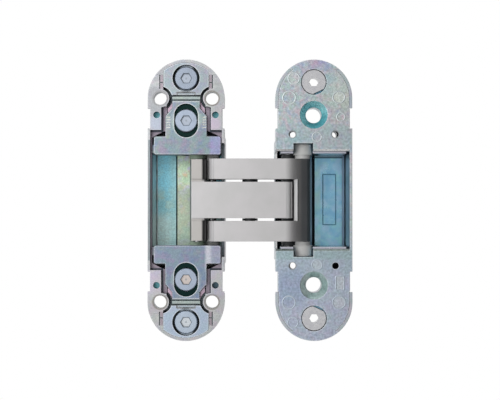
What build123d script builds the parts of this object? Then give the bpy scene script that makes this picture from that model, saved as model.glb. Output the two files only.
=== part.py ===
from build123d import *
from math import atan2, cos, hypot, pi, sin
import os

# Concealed door hinge, open flat. X runs from the frame leaf to the door leaf, Y into the wood, Z up.
# All sizes are in mm. The front faces of both leaves lie at Y = 0. The linkage is drawn about the middle
# of the gap and moved as a whole at export, so that the origin is the middle of the frame leaf's face.

# Leaves
BODY_WIDTH = 30.0
BODY_HEIGHT = 110.0
BODY_GAP = 20.0
PAD_DEPTH = 10.0
FRAME_DEPTH = 29.0
SIDE_WALL = 1.4
FLOOR_WALL = 1.4

# Linkage
PIVOT_INSET = 5.5
SLIDE_INSET = 10.9
CROSS_DEPTH = 5.0
SLIDE_DEPTH = 7.5
CLOSED_GAP = 5.0
TURN_RATIO = 0.9

# Adjustment travel either way
DEPTH_TRAVEL = 1.0
HEIGHT_TRAVEL = 2.0
LATERAL_TRAVEL = 1.0

# Fits
RUN_FIT = 0.05
PRESS_FIT = 0.01
SLIDE_FIT = 0.2
TRACK_FIT = 0.15
FACE_FIT = 0.1
END_FIT = 0.15
FOOT_FIT = 0.3
NECK_FIT = 0.4
BLOCK_FIT = 0.08

# Overlap of joined solids and overrun of cuts
LAP = 1.0

# Arms
ARM_FRONT = -0.6
BEAM_BACK = 7.0
MIDDLE_LESS = 2.0
ARM_GAP = 1.1
CROSS_BOSS_RADIUS = 4.2
SLIDE_EYE_RADIUS = 3.0
PIVOT_EYE_RADIUS = 3.6
LEG_WALL = 1.2
LEG_SHOULDER = 2.6
KNUCKLE_GAP = 0.45
KNUCKLE_BEVEL = 1.4
KNUCKLE_BEVEL_DEPTH = 1.4
KNUCKLE_DROP = 0.3
SQUARE_REACH = 2.0
SLOPE_START = 15.6
SLOPE_REACH = 2.45
SLOPE_DEPTH = 2.9
SLOPE_BULGE = 0.5
SLOPE_ROUND = 12.0
SLOPE_LAND = 0.25
SLOPE_BEVEL_START = 0.75
GROOVE_DEPTH = 0.7
GUSSET = 2.0
EYE_CLEAR = 0.6
WINDOW_CLEAR = 1.5

# Pins, rollers and spacers
PIVOT_PIN_RADIUS = 2.0
CROSS_PIN_RADIUS = 2.0
SLIDE_PIN_RADIUS = 1.6
ROLLER_RADIUS = 3.7
ROLLER_NECK_RADIUS = 3.0
ROLLER_STEP = 0.5
ROLLER_END_FIT = 0.3
PIN_END_FIT = 0.35
WASHER_RADIUS = 3.05
SLEEVE_RADIUS = 2.8
SPACER_RADIUS = 3.3

# Cages
CAGE_CLEAR = 2.2
TRACK_DEPTH = 3.9
FRAME_CAGE_END = 5.0
FRAME_CAGE_CORNER = 2.0
CAGE_FLOOR = 1.4
CAGE_RIB = 1.4
CAGE_RIB_INSET = 4.9
CAGE_RIB_GROOVE = 0.6
CAGE_RIB_GROOVE_DEPTH = 0.8
DOOR_FLOOR_RISE = 2.0
DOOR_FLOOR_EDGE = 1.6

# Ears of the frame cage
EAR_FRONT = 0.1
EAR_THICK = 2.5
EAR_SIDE_GAP = 0.4
EAR_SHIFT = 0.5
EAR_LAP = 0.7
EAR_HEAD_MARGIN = 1.6
EAR_STEM_INSET = 6.8
EAR_STEM_RISE = 1.8
EAR_NECK_GAP = 1.1
EAR_NECK_RISE = 4.9
EAR_TIP_GAP = 0.2
EAR_TIP_LENGTH = 2.4
EAR_SLOT_EDGE = 0.85
EAR_TIP_DROP = 1.15
EAR_TIP_ROUND = 0.6
EAR_TIP_GROOVE = 0.55
EAR_TIP_GROOVE_DEPTH = 0.7
EAR_CORNER = 1.0
EAR_EDGE = 0.25
TICK_X = 7.05
TICK_LENGTH = 1.5
TICK_WIDTH = 0.35
TICK_DEPTH = 0.2
TICK_COUNT = 5
TICK_PITCH = 1.0
TICK_DROP = 2.7

# Screws of the frame leaf
MOUNT_INSET = 4.85
MOUNT_DOWN = 15.2
MOUNT_RADIUS = 2.5
MOUNT_BORE_END = 4.0
MOUNT_BACK_RADIUS = 3.1
MOUNT_BOSS_RADIUS = 3.55
PEG_INSET = 3.5
PEG_DROP = 6.5
PEG_RADIUS = 1.3
PEG_DEPTH = 4.0
CLAMP_EDGE = 3.9
CLAMP_HEAD_RADIUS = 4.45
CLAMP_HEAD = 1.25
CLAMP_SLOT_SIDE = 0.2
DEPTH_EDGE = 2.0
DEPTH_HEAD_RADIUS = 4.5
DEPTH_HEAD = 1.9
DEPTH_HOLE_RADIUS = 5.3
DEPTH_BORE_FRONT = 3.2
DEPTH_SCREW_BACK = 9.4
HEAD_CHAMFER = 0.3
SCREW_RADIUS = 2.5
SOCKET_RADIUS = 2.05
SOCKET_DEPTH = 0.9

# Hook blocks
BLOCK_INSET = 6.16
BLOCK_EDGE = 1.2
BLOCK_RIM = 1.2
BLOCK_BACK = 6.5
BLOCK_SCALLOP = 1.1
FOOT_INSET = 7.7
FOOT_CLEAR = 1.8
HOOK_LIP = 0.95
HOOK_REACH = 2.4
LIP_NOTCH_HALF = 3.6
LIP_NOTCH = 1.0
LIP_NOTCH_DEPTH = 0.45

# Frame leaf recesses
POCKET_ARC_RADIUS = 24.57
POCKET_ARC_INSET = 14.25
SHELF_RIM = 1.0
SHELF_GAP = 0.4
CORRIDOR_GAP = 1.5
CORRIDOR_RISE = 0.6
GUIDE_GAP = 0.13
GUIDE_WIDTH = 1.05
GUIDE_RISE = 2.4
GUIDE_LENGTH = 5.4
GUIDE_DEPTH = 0.3
GUIDE_LINE = 0.4
GUIDE_LINE_DEPTH = 1.0
GUIDE_BAR_RISE = 2.4
GUIDE_BAR = 0.45
PAD_STEP_RISE = 0.6
PAD_STEP = 0.3
FRAME_WINDOW_GAP = 3.9

# Grips in the long sides
NOTCH_DOWN = 27.0
NOTCH_LENGTH = 7.8
NOTCH_DEPTH = 0.95
NOTCH_FACE = 2.0
NOTCH_RELIEF = 1.3

# Door leaf
PLATE_THICK = 3.0
PLATE_MARGIN = 0.75
PLATE_BEVEL = 0.8
DOOR_WALL = 1.0
WING_WIDTH = 1.15
WING_RISE = 0.2
WING_TOP_DOWN = 3.8
WING_GAP = 0.06
WING_END_GAP = 0.3
SHOE_NOTCH_HALF = 3.85
SHOE_NOTCH_LIP = 0.1
SCREW_DOWN = 21.65
SCREW_HOLE_RADIUS = 3.1
SINK_RADIUS = 5.5
SCREW_BOSS_RADIUS = 4.4
VENT_INSET = 6.6
VENT_RISE = 3.5
VENT_RADIUS = 1.3
VENT_BACK_RADIUS = 1.6
VENT_BACK_SHIFT = 0.75
VENT_BLIND_WALL = 1.0
EMBLEM_INSET = 7.4
EMBLEM_WIDTH = 5.6
EMBLEM_HEIGHT = 21.0
EMBLEM_LINE = 0.35
EMBLEM_RISE = 0.4
EMBLEM_Z = 0.5

# Eccentrics and the straps they drive
ECCENTRIC_DOWN = 8.8
ECCENTRIC_THROW = 2.0
DISC_RADIUS = 4.7
DISC_FIT = 0.3
DISC_FLAT = 0.6
FLAT_ANGLE = -65.0
CAM_RADIUS = 4.4
CAM_FIT = 0.1
CAM_SLOT = 1.0
JOURNAL_RADIUS = 2.9
HEX_RADIUS = 1.85
HEX_DEPTH = 1.6
KEY_BORE_RADIUS = 2.35
STRAP_FRONT = 4.0
STRAP_BACK = 6.4
STRAP_HALF = 5.6
STRAP_EYE = 8.0
STRAP_HEAD = 6.6
STRAP_SEAT_FIT = 0.5

# Derived positions
END_RADIUS = BODY_WIDTH / 2
TIP_Z = BODY_HEIGHT / 2
END_Z = TIP_Z - END_RADIUS

# Heights from the tip down to the pocket; the arms fill what the two ends leave
DEPTH_Z = TIP_Z - DEPTH_EDGE - DEPTH_HOLE_RADIUS
BLOCK_START = DEPTH_Z - DEPTH_HOLE_RADIUS - BLOCK_EDGE
EAR_TIP = BLOCK_START - EAR_TIP_GAP
EAR_STEP = EAR_TIP - EAR_TIP_LENGTH
CLAMP_SLOT_RADIUS = CLAMP_HEAD_RADIUS + CLAMP_SLOT_SIDE
CLAMP_Z = EAR_STEP - EAR_SLOT_EDGE - CLAMP_SLOT_RADIUS - HEIGHT_TRAVEL
FOOT_START = CLAMP_Z - CLAMP_EDGE
CAGE_END = FOOT_START - FOOT_CLEAR - HEIGHT_TRAVEL
CAGE_HALF = CAGE_END - FRAME_CAGE_END
ARM_HEIGHT = 2 * (CAGE_HALF - CAGE_CLEAR)
MIDDLE_HEIGHT = ARM_HEIGHT / 2 - MIDDLE_LESS
MOUNT_Z = TIP_Z - MOUNT_DOWN
PEG_Z = MOUNT_Z - PEG_DROP
TICK_START = CLAMP_Z - TICK_DROP
GUIDE_START = BLOCK_START + GUIDE_RISE
GUIDE_TOP = GUIDE_START + GUIDE_LENGTH
GUIDE_BAR_Z = GUIDE_START + GUIDE_BAR_RISE
PAD_STEP_Z = GUIDE_START + PAD_STEP_RISE
NOTCH_START = TIP_Z - NOTCH_DOWN
WING_START = NOTCH_START + NOTCH_LENGTH + WING_RISE
WING_END = TIP_Z - WING_TOP_DOWN
SCREW_Z = TIP_Z - SCREW_DOWN
ECCENTRIC_Z = TIP_Z - ECCENTRIC_DOWN

# Places across the leaves and in depth
LEAF_X = (BODY_GAP + BODY_WIDTH) / 2
PIVOT_X = BODY_GAP / 2 + PIVOT_INSET
SLIDE_X = BODY_GAP / 2 + SLIDE_INSET
FOLD = pi / (1 + TURN_RATIO)
CROSS_DROP = (CROSS_DEPTH + CLOSED_GAP / 2 - PIVOT_X * sin(FOLD)) / (1 - cos(FOLD))
PIVOT_DEPTH = CROSS_DEPTH - CROSS_DROP
PRONG_START = MIDDLE_HEIGHT / 2 + ARM_GAP
TRACK_END = CAGE_HALF + TRACK_DEPTH
CAGE_BACK = FRAME_DEPTH - FLOOR_WALL - DEPTH_TRAVEL - SLIDE_FIT
CAGE_FLOOR_FRONT = CAGE_BACK - CAGE_FLOOR
DOOR_FLOOR_FRONT = CAGE_FLOOR_FRONT - DOOR_FLOOR_RISE
DOOR_DEPTH = CAGE_BACK + SLIDE_FIT + FLOOR_WALL
LEG_X = PIVOT_X + LEG_WALL
KNUCKLE_X = LEG_X + KNUCKLE_GAP
EAR_BACK = EAR_FRONT + EAR_THICK
SHELF_DEPTH = EAR_BACK + DEPTH_TRAVEL + SLIDE_FIT
BLOCK_DEPTH = BLOCK_BACK + DEPTH_TRAVEL + SLIDE_FIT
POCKET_HALF = END_RADIUS - SIDE_WALL
POCKET_ARC_Z = CAGE_HALF - POCKET_ARC_INSET
WINDOW_DEPTH = BEAM_BACK + DEPTH_TRAVEL + WINDOW_CLEAR
DOOR_WINDOW_DEPTH = PIVOT_DEPTH + PIVOT_EYE_RADIUS + EYE_CLEAR
DOOR_POCKET_HALF = END_RADIUS - DOOR_WALL
DOOR_CAGE_HALF = DOOR_POCKET_HALF - LATERAL_TRAVEL - FACE_FIT
STRAP_RECESS = STRAP_BACK + STRAP_SEAT_FIT
FRAME_WINDOW = CAGE_HALF + FRAME_WINDOW_GAP
PLATE_OPENING = CAGE_HALF + PLATE_MARGIN
SHOE_NOTCH_END = TRACK_END - SHOE_NOTCH_LIP
VENT_X = END_RADIUS - VENT_INSET
VENT_Z = SHOE_NOTCH_END + VENT_RISE
VENT_BACK_X = VENT_X - VENT_BACK_SHIFT
EMBLEM_X = END_RADIUS - EMBLEM_INSET
MOUNT_X = END_RADIUS - MOUNT_INSET
PEG_X = END_RADIUS - PEG_INSET
BLOCK_HALF = END_RADIUS - BLOCK_INSET
FOOT_HALF = END_RADIUS - FOOT_INSET
GUIDE_INNER = BLOCK_HALF + BLOCK_FIT + GUIDE_GAP

# Outline of the ears and of the recess they move in
EAR_HEAD_HALF = POCKET_HALF - EAR_SIDE_GAP
EAR_HEAD_START = CAGE_HALF - EAR_LAP
EAR_HEAD_END = CAGE_END + EAR_HEAD_MARGIN
EAR_STEM_HALF = END_RADIUS - EAR_STEM_INSET
EAR_STEM_END = CLAMP_Z + EAR_STEM_RISE
EAR_NECK_START = CLAMP_Z + EAR_NECK_RISE
EAR_NECK_HALF = MOUNT_X - MOUNT_BOSS_RADIUS - EAR_NECK_GAP
SHELF_HALF = END_RADIUS - SHELF_RIM
SHELF_END = EAR_HEAD_END + HEIGHT_TRAVEL + SHELF_GAP
CORRIDOR_HALF = EAR_STEM_HALF + CORRIDOR_GAP
CORRIDOR_END = EAR_NECK_START + CORRIDOR_RISE


def deep(sketch, front, back):
    """Solid from a sketch in X and Z, between two depths."""
    return extrude(Plane.XZ.offset(-front) * sketch, amount=front - back)


def tall(sketch, low, high):
    """Solid from a sketch in X and Y, between two heights."""
    return extrude(Plane.XY.offset(low) * sketch, amount=high - low)


def tall_pair(sketch, low, high):
    """The same solid above and below the middle."""
    return tall(sketch, low, high) + tall(sketch, -high, -low)


def at(x, y, sketch):
    """A sketch moved within its own plane."""
    return Pos(x, y) * sketch


def span(left, right, low, high):
    """Rectangle between two pairs of edges."""
    return Pos((left + right) / 2, (low + high) / 2) * Rectangle(right - left, high - low)


def both_ends(shape):
    """A shape of the upper end and its twin at the lower end."""
    return shape + mirror(shape, about=Plane.XY)


def rod(x, y, radius, low, high):
    """Upright round bar."""
    return tall(at(x, y, Circle(radius)), low, high)


def dowel(x, z, radius, front, back):
    """Round bar running into the wood."""
    return deep(at(x, z, Circle(radius)), front, back)


def leaf_outline(width, height):
    """Round-ended outline of a leaf about its own middle."""
    return SlotOverall(height, width, rotation=90)


def slide_point(turn):
    """Roller centre (inset from the leaf middle plane, depth) after a share of the whole fold."""
    pivot_reach = hypot(PIVOT_X, CROSS_DROP)
    pivot_angle = atan2(CROSS_DROP, PIVOT_X) - turn * FOLD
    slide_reach = hypot(SLIDE_X, CROSS_DEPTH - SLIDE_DEPTH)
    slide_angle = atan2(CROSS_DEPTH - SLIDE_DEPTH, SLIDE_X) - turn * FOLD * TURN_RATIO
    x = -PIVOT_X + pivot_reach * cos(pivot_angle) - slide_reach * cos(slide_angle)
    y = PIVOT_DEPTH + pivot_reach * sin(pivot_angle) - slide_reach * sin(slide_angle)
    return x, y


def track_sketch():
    """Curved roller track of the frame leaf, in X and Y."""
    path = ThreePointArc(slide_point(0), slide_point(0.5), slide_point(1))
    return SlotArc(path, 2 * (ROLLER_RADIUS + TRACK_FIT))


def side_notches(x, back):
    """Grips cut into both long sides near each end."""
    half = END_RADIUS - NOTCH_DEPTH
    end = NOTCH_START + NOTCH_LENGTH
    front = Sketch()
    behind = Sketch()
    for side in (-1, 1):
        low, high = sorted((side * half, side * (half + 2 * NOTCH_DEPTH)))
        front += span(x + low, x + high, NOTCH_START, end)
        behind += span(x + low, x + high, NOTCH_START, end + NOTCH_RELIEF)
    return both_ends(deep(front, -LAP, back) + deep(behind, NOTCH_FACE, back))


# The plan of an arm: slide eye on the left, crossing in the middle, pivot leg on the right.
def square_end():
    """Slide end of the middle arm: flat in front up to a sharp edge."""
    return make_face(Polyline(
        (-SLIDE_X / 2, ARM_FRONT),
        (-SLIDE_X - SQUARE_REACH, ARM_FRONT),
        (-SLIDE_X - SLIDE_EYE_RADIUS, SLIDE_DEPTH),
        (-SLIDE_X, SLIDE_DEPTH + SLIDE_EYE_RADIUS),
        (-SLIDE_X / 2, BEAM_BACK),
        close=True,
    ))


def sloped_end():
    """Slide end of the fork arm: its front falls away in a slightly bowed slope."""
    top = (-SLOPE_START, ARM_FRONT)
    foot = (-SLIDE_X - SLOPE_REACH, SLOPE_DEPTH)
    middle = ((top[0] + foot[0]) / 2, (top[1] + foot[1]) / 2 - SLOPE_BULGE)
    rest = Polyline(
        foot,
        (foot[0] - SLOPE_LAND, foot[1]),
        (-SLIDE_X - SLIDE_EYE_RADIUS, SLIDE_DEPTH),
        (-SLIDE_X, SLIDE_DEPTH + SLIDE_EYE_RADIUS),
        (-SLIDE_X / 2, BEAM_BACK),
        (-SLIDE_X / 2, ARM_FRONT),
        top,
    )
    plan = make_face(ThreePointArc(top, middle, foot) + rest)
    crease = plan.vertices().sort_by_distance((*top, 0))[0]
    return fillet(crease, SLOPE_ROUND)


def arm_plan(end):
    """Side outline of an arm with the given slide end, without bores."""
    leg_top = ARM_FRONT + LEG_SHOULDER
    leg_inner = PIVOT_X - PIVOT_EYE_RADIUS
    beam = span(-SLIDE_X / 2 - LAP, LEG_X - LEG_SHOULDER, ARM_FRONT, BEAM_BACK)
    leg = span(leg_inner, LEG_X, leg_top, PIVOT_DEPTH)
    leg += span(leg_inner, LEG_X - LEG_SHOULDER, ARM_FRONT, leg_top + LAP)
    leg += at(LEG_X - LEG_SHOULDER, leg_top, Circle(LEG_SHOULDER))
    gusset = make_face(Polyline(
        (leg_inner - GUSSET, BEAM_BACK - LAP),
        (leg_inner - GUSSET, BEAM_BACK),
        (leg_inner, BEAM_BACK + GUSSET),
        (leg_inner + LAP, BEAM_BACK + GUSSET),
        (leg_inner + LAP, BEAM_BACK - LAP),
        close=True,
    ))
    plan = end + beam + leg + gusset
    plan += at(-SLIDE_X, SLIDE_DEPTH, Circle(SLIDE_EYE_RADIUS))
    plan += at(0, CROSS_DEPTH, Circle(CROSS_BOSS_RADIUS))
    plan += at(PIVOT_X, PIVOT_DEPTH, Circle(PIVOT_EYE_RADIUS))
    return plan


def knuckle_plan(end, bevel_start):
    """The full-height end of an arm, cut back where the other arm's leg and pivot eye come past."""
    far = SLIDE_X + 3 * SLIDE_EYE_RADIUS
    bevel_front = ARM_FRONT + bevel_start
    plan = arm_plan(end) & span(-far, -KNUCKLE_X, ARM_FRONT - LAP, CAGE_BACK)
    bevel = make_face(Polyline(
        (-KNUCKLE_X - KNUCKLE_BEVEL, ARM_FRONT - LAP),
        (-KNUCKLE_X - KNUCKLE_BEVEL, bevel_front),
        (-KNUCKLE_X, bevel_front + KNUCKLE_BEVEL_DEPTH),
        (-KNUCKLE_X, ARM_FRONT - LAP),
        close=True,
    ))
    return plan - bevel - at(-PIVOT_X, PIVOT_DEPTH, Circle(PIVOT_EYE_RADIUS + EYE_CLEAR))


def arm_bores(side, cross_fit, pivot_fit):
    """Pin bores of an arm whose slide eye lies on the given side."""
    reach = ARM_HEIGHT
    bores = rod(side * SLIDE_X, SLIDE_DEPTH, SLIDE_PIN_RADIUS + PRESS_FIT, -reach, reach)
    bores += rod(0, CROSS_DEPTH, CROSS_PIN_RADIUS + cross_fit, -reach, reach)
    return bores + rod(-side * PIVOT_X, PIVOT_DEPTH, PIVOT_PIN_RADIUS + pivot_fit, -reach, reach)


def middle_arm():
    """T-shaped arm: a plate that runs between the prongs and a full-height knuckle."""
    half = MIDDLE_HEIGHT / 2
    arm = tall(arm_plan(square_end()), -half, half)
    knuckle_end = ARM_HEIGHT / 2 - KNUCKLE_DROP
    arm += tall(knuckle_plan(square_end(), 0), -knuckle_end, knuckle_end)
    groove = span(-SLIDE_X - SLIDE_EYE_RADIUS, -KNUCKLE_X, ARM_FRONT - LAP, ARM_FRONT + GROOVE_DEPTH)
    arm -= tall_pair(groove, half, PRONG_START)
    return arm - arm_bores(-1, RUN_FIT, RUN_FIT)


def fork_arm():
    """U-shaped arm: two prongs joined by a full-height knuckle."""
    prong = mirror(arm_plan(sloped_end()), about=Plane.YZ)
    knuckle = mirror(knuckle_plan(sloped_end(), SLOPE_BEVEL_START), about=Plane.YZ)
    arm = tall_pair(prong, PRONG_START, ARM_HEIGHT / 2)
    arm += tall(knuckle, -ARM_HEIGHT / 2, ARM_HEIGHT / 2)
    return arm - arm_bores(1, PRESS_FIT, RUN_FIT)


def ring(x, y, outer, inner, low, high):
    """Upright tube."""
    return tall(at(x, y, Circle(outer) - Circle(inner)), low, high)


def roller(x, side):
    """Plastic roller with a narrow neck towards the arm."""
    low = ARM_HEIGHT / 2 + SLIDE_FIT
    high = TRACK_END - ROLLER_END_FIT
    step = CAGE_HALF - ROLLER_STEP
    body = rod(x, SLIDE_DEPTH, ROLLER_NECK_RADIUS, low, step)
    body += rod(x, SLIDE_DEPTH, ROLLER_RADIUS, step, high)
    body -= rod(x, SLIDE_DEPTH, SLIDE_PIN_RADIUS + RUN_FIT, low - LAP, high + LAP)
    return body if side > 0 else mirror(body, about=Plane.XY)


def ear_sketch():
    """Upper ear of the frame cage about the leaf middle."""
    head = span(-EAR_HEAD_HALF, EAR_HEAD_HALF, EAR_HEAD_START, EAR_HEAD_END)
    head = Pos(EAR_SHIFT, 0) * fillet(head.vertices(), EAR_CORNER)
    right = [
        (EAR_STEM_HALF, EAR_HEAD_END - LAP),
        (EAR_STEM_HALF, EAR_STEM_END),
        (EAR_NECK_HALF, EAR_NECK_START),
        (EAR_NECK_HALF, EAR_TIP),
    ]
    left = [(-x, z) for x, z in reversed(right)]
    return head + make_face(Polyline(*right, *left, close=True))


def ear():
    """Upper ear with its stepped screw slot, dropped tip and scale."""
    ledge = EAR_FRONT + CLAMP_HEAD + FACE_FIT
    wide = SlotCenterToCenter(2 * HEIGHT_TRAVEL, 2 * CLAMP_SLOT_RADIUS, rotation=90)
    narrow = SlotCenterToCenter(2 * HEIGHT_TRAVEL, 2 * (SCREW_RADIUS + SLIDE_FIT), rotation=90)
    plate = deep(ear_sketch(), EAR_FRONT, EAR_BACK)
    plate = chamfer(plate.edges().group_by(Axis.Y)[0], EAR_EDGE)
    plate -= deep(at(0, CLAMP_Z, wide), EAR_FRONT - LAP, ledge)
    plate -= deep(at(0, CLAMP_Z, narrow), ledge - LAP, EAR_BACK + LAP)
    bar_start = EAR_STEP + EAR_TIP_GROOVE
    tip = span(-EAR_HEAD_HALF, EAR_HEAD_HALF, EAR_STEP, EAR_TIP + LAP)
    groove = span(-EAR_HEAD_HALF, EAR_HEAD_HALF, EAR_STEP, bar_start)
    plate -= deep(tip, EAR_FRONT - LAP, EAR_TIP_DROP)
    plate -= deep(groove, EAR_FRONT - LAP, EAR_TIP_DROP + EAR_TIP_GROOVE_DEPTH)
    rims = plate.edges().filter_by(Axis.X).filter_by(
        lambda e: e.center().Z > bar_start - LAP / 2 and abs(e.center().Y - EAR_TIP_DROP) < LAP / 100
    )
    return fillet(rims, EAR_TIP_ROUND)


def ear_scale():
    """Height scale cut beside the upper slot."""
    marks = Sketch()
    tick = Rectangle(TICK_LENGTH, TICK_WIDTH)
    for side in (-1, 1):
        for step in range(TICK_COUNT):
            marks += at(side * TICK_X, TICK_START + step * TICK_PITCH, tick)
    return deep(marks, EAR_FRONT - LAP, EAR_FRONT + TICK_DEPTH)


def frame_cage():
    """Carrier that holds the frame pivot and the roller tracks and is clamped by its two ears."""
    left = -LEAF_X - EAR_HEAD_HALF
    right = -LEAF_X + EAR_HEAD_HALF
    wall_end = CAGE_END
    wall = span(left, right, EAR_BACK - LAP, CAGE_BACK)
    walls = tall(wall, CAGE_HALF, wall_end)
    outer_edges = walls.edges().filter_by(Axis.Y).group_by(Axis.Z)[-1]
    walls = chamfer(outer_edges, FRAME_CAGE_CORNER)
    walls -= tall(track_sketch(), CAGE_HALF - LAP, TRACK_END)
    cage = both_ends(walls + Pos(-LEAF_X, 0, 0) * ear())
    cage += tall(span(left, right, CAGE_FLOOR_FRONT, CAGE_BACK), -CAGE_HALF, CAGE_HALF)
    rib_left = -LEAF_X - CAGE_RIB_INSET
    rib_right = -PIVOT_X - PIVOT_EYE_RADIUS
    rib = span(rib_left, rib_right, CAGE_FLOOR_FRONT - CAGE_RIB, CAGE_BACK)
    cage += tall(rib, -CAGE_HALF, CAGE_HALF)
    groove_back = CAGE_FLOOR_FRONT + CAGE_RIB_GROOVE_DEPTH
    groove = span(rib_left - CAGE_RIB_GROOVE, rib_left, CAGE_FLOOR_FRONT - LAP, groove_back)
    cage -= tall(groove, -CAGE_HALF, CAGE_HALF)
    cage -= Pos(-LEAF_X, 0, 0) * ear_scale()
    reach = wall_end + LAP
    return cage - rod(-PIVOT_X, PIVOT_DEPTH, PIVOT_PIN_RADIUS + PRESS_FIT, -reach, reach)


def block_outline(half, low, rim, scallop):
    """Upper hook block in X and Z about the leaf middle, hollowed round the mounting bosses."""
    plan = span(-half, half, low, BODY_HEIGHT) & at(0, END_Z, Circle(END_RADIUS - rim))
    for side in (-1, 1):
        plan -= at(side * MOUNT_X, MOUNT_Z, Circle(MOUNT_BOSS_RADIUS + scallop))
    return plan


def hook_block():
    """Upper hook block about the leaf middle: foot under the ear, lip over its tip."""
    foot = span(-FOOT_HALF, FOOT_HALF, FOOT_START, BLOCK_START + LAP)
    for side in (-1, 1):
        foot -= at(side * MOUNT_X, MOUNT_Z, Circle(MOUNT_BOSS_RADIUS + BLOCK_SCALLOP))
    block = deep(block_outline(BLOCK_HALF, BLOCK_START, BLOCK_RIM, BLOCK_SCALLOP), 0, BLOCK_BACK)
    block += deep(foot, EAR_BACK + RUN_FIT, BLOCK_BACK)
    neck = EAR_NECK_HALF + NECK_FIT
    cavity = span(-neck, neck, BLOCK_START - LAP, BLOCK_START + HOOK_REACH)
    block -= deep(cavity, HOOK_LIP, EAR_BACK + RUN_FIT)
    notch = span(-LIP_NOTCH_HALF, LIP_NOTCH_HALF, BLOCK_START - LAP, BLOCK_START + LIP_NOTCH)
    block -= deep(notch, -LAP, LIP_NOTCH_DEPTH)
    block -= dowel(0, DEPTH_Z, DEPTH_HOLE_RADIUS, -LAP, DEPTH_BORE_FRONT)
    block -= dowel(0, DEPTH_Z, SCREW_RADIUS + RUN_FIT, -LAP, BLOCK_BACK + LAP)
    return block - dowel(0, CLAMP_Z, SCREW_RADIUS + PRESS_FIT, -LAP, BLOCK_BACK + LAP)


def hex_socket(z, front):
    """Hexagon socket sunk into a screw head."""
    return deep(at(0, z, RegularPolygon(SOCKET_RADIUS, 6)), front - LAP, front + SOCKET_DEPTH)


def clamp_screw():
    """Upper clamp screw about the leaf middle, flush in the slot of the ear."""
    front = EAR_FRONT
    head = dowel(0, CLAMP_Z, CLAMP_HEAD_RADIUS, front, front + CLAMP_HEAD)
    head = chamfer(head.edges().group_by(Axis.Y)[0], HEAD_CHAMFER)
    screw = head + dowel(0, CLAMP_Z, SCREW_RADIUS, front + CLAMP_HEAD - LAP, BLOCK_BACK)
    return screw - hex_socket(CLAMP_Z, front)


def depth_screw():
    """Upper depth screw about the leaf middle, borne by the leaf and turned from the front."""
    front = EAR_FRONT
    head = dowel(0, DEPTH_Z, DEPTH_HEAD_RADIUS, front, front + DEPTH_HEAD)
    head = chamfer(head.edges().group_by(Axis.Y)[0], HEAD_CHAMFER)
    screw = head + dowel(0, DEPTH_Z, SCREW_RADIUS, front + DEPTH_HEAD - LAP, DEPTH_SCREW_BACK)
    return screw - hex_socket(DEPTH_Z, front)


def pocket_sketch(half, grow):
    """Deep pocket of the frame leaf about its middle, with bowed ends."""
    disc = Circle(POCKET_ARC_RADIUS + grow)
    lens = at(0, POCKET_ARC_Z, disc) + at(0, -POCKET_ARC_Z, disc)
    return lens & Rectangle(2 * half, BODY_HEIGHT)


def frame_end_recess():
    """Everything cut from the front of the upper end of the frame leaf, about its middle."""
    shelf = span(-SHELF_HALF, SHELF_HALF, 0, SHELF_END)
    shelf += span(-CORRIDOR_HALF, CORRIDOR_HALF, 0, CORRIDOR_END)
    boss_clear = Sketch()
    for side in (-1, 1):
        boss_clear += at(side * MOUNT_X, MOUNT_Z, Circle(MOUNT_BOSS_RADIUS))
    well_half = FOOT_HALF + FOOT_FIT
    well = span(-well_half, well_half, FOOT_START - FOOT_FIT, BLOCK_START + LAP)
    well += block_outline(BLOCK_HALF + BLOCK_FIT, BLOCK_START - LAP, BLOCK_RIM - BLOCK_FIT, 0)
    well -= boss_clear
    cuts = [deep(shelf - boss_clear, -LAP, SHELF_DEPTH), deep(well, -LAP, BLOCK_DEPTH)]
    cuts.append(dowel(0, DEPTH_Z, SCREW_RADIUS + RUN_FIT, -LAP, DEPTH_SCREW_BACK + FACE_FIT))
    for side in (-1, 1):
        inner, outer = GUIDE_INNER, GUIDE_INNER + GUIDE_WIDTH
        guide = span(inner, outer, GUIDE_START, GUIDE_TOP)
        line = span(outer, outer + GUIDE_LINE, GUIDE_START, GUIDE_TOP)
        line += span(inner, outer, GUIDE_BAR_Z - GUIDE_BAR / 2, GUIDE_BAR_Z + GUIDE_BAR / 2)
        step = span(outer, END_RADIUS + LAP, PAD_STEP_Z, GUIDE_TOP)
        if side < 0:
            guide, line, step = (mirror(plan, about=Plane.YZ) for plan in (guide, line, step))
        cuts.append(deep(guide - boss_clear, -LAP, GUIDE_DEPTH))
        cuts.append(deep(step, -LAP, PAD_STEP))
        cuts.append(deep(line - boss_clear, -LAP, GUIDE_LINE_DEPTH))
        cuts.append(dowel(side * MOUNT_X, MOUNT_Z, MOUNT_RADIUS, -LAP, PAD_DEPTH + LAP))
        cuts.append(dowel(side * MOUNT_X, MOUNT_Z, MOUNT_BACK_RADIUS, MOUNT_BORE_END, PAD_DEPTH + LAP))
        cuts.append(dowel(side * PEG_X, PEG_Z, PEG_RADIUS, -LAP, PEG_DEPTH))
    return cuts


def frame_housing():
    """Die-cast frame leaf: end pads, deep pocket and the seats of both hook blocks."""
    body = deep(leaf_outline(BODY_WIDTH, BODY_HEIGHT), 0, PAD_DEPTH)
    body += deep(pocket_sketch(END_RADIUS, SIDE_WALL), 0, FRAME_DEPTH)
    body -= deep(pocket_sketch(POCKET_HALF, 0), -LAP, FRAME_DEPTH - FLOOR_WALL)
    for cut in frame_end_recess():
        body = body - cut - mirror(cut, about=Plane.XY)
    window = span(0, END_RADIUS + LAP, -FRAME_WINDOW, FRAME_WINDOW)
    body -= deep(window, -LAP, WINDOW_DEPTH)
    return Pos(-LEAF_X, 0, 0) * body - side_notches(-LEAF_X, PAD_DEPTH + LAP)


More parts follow.
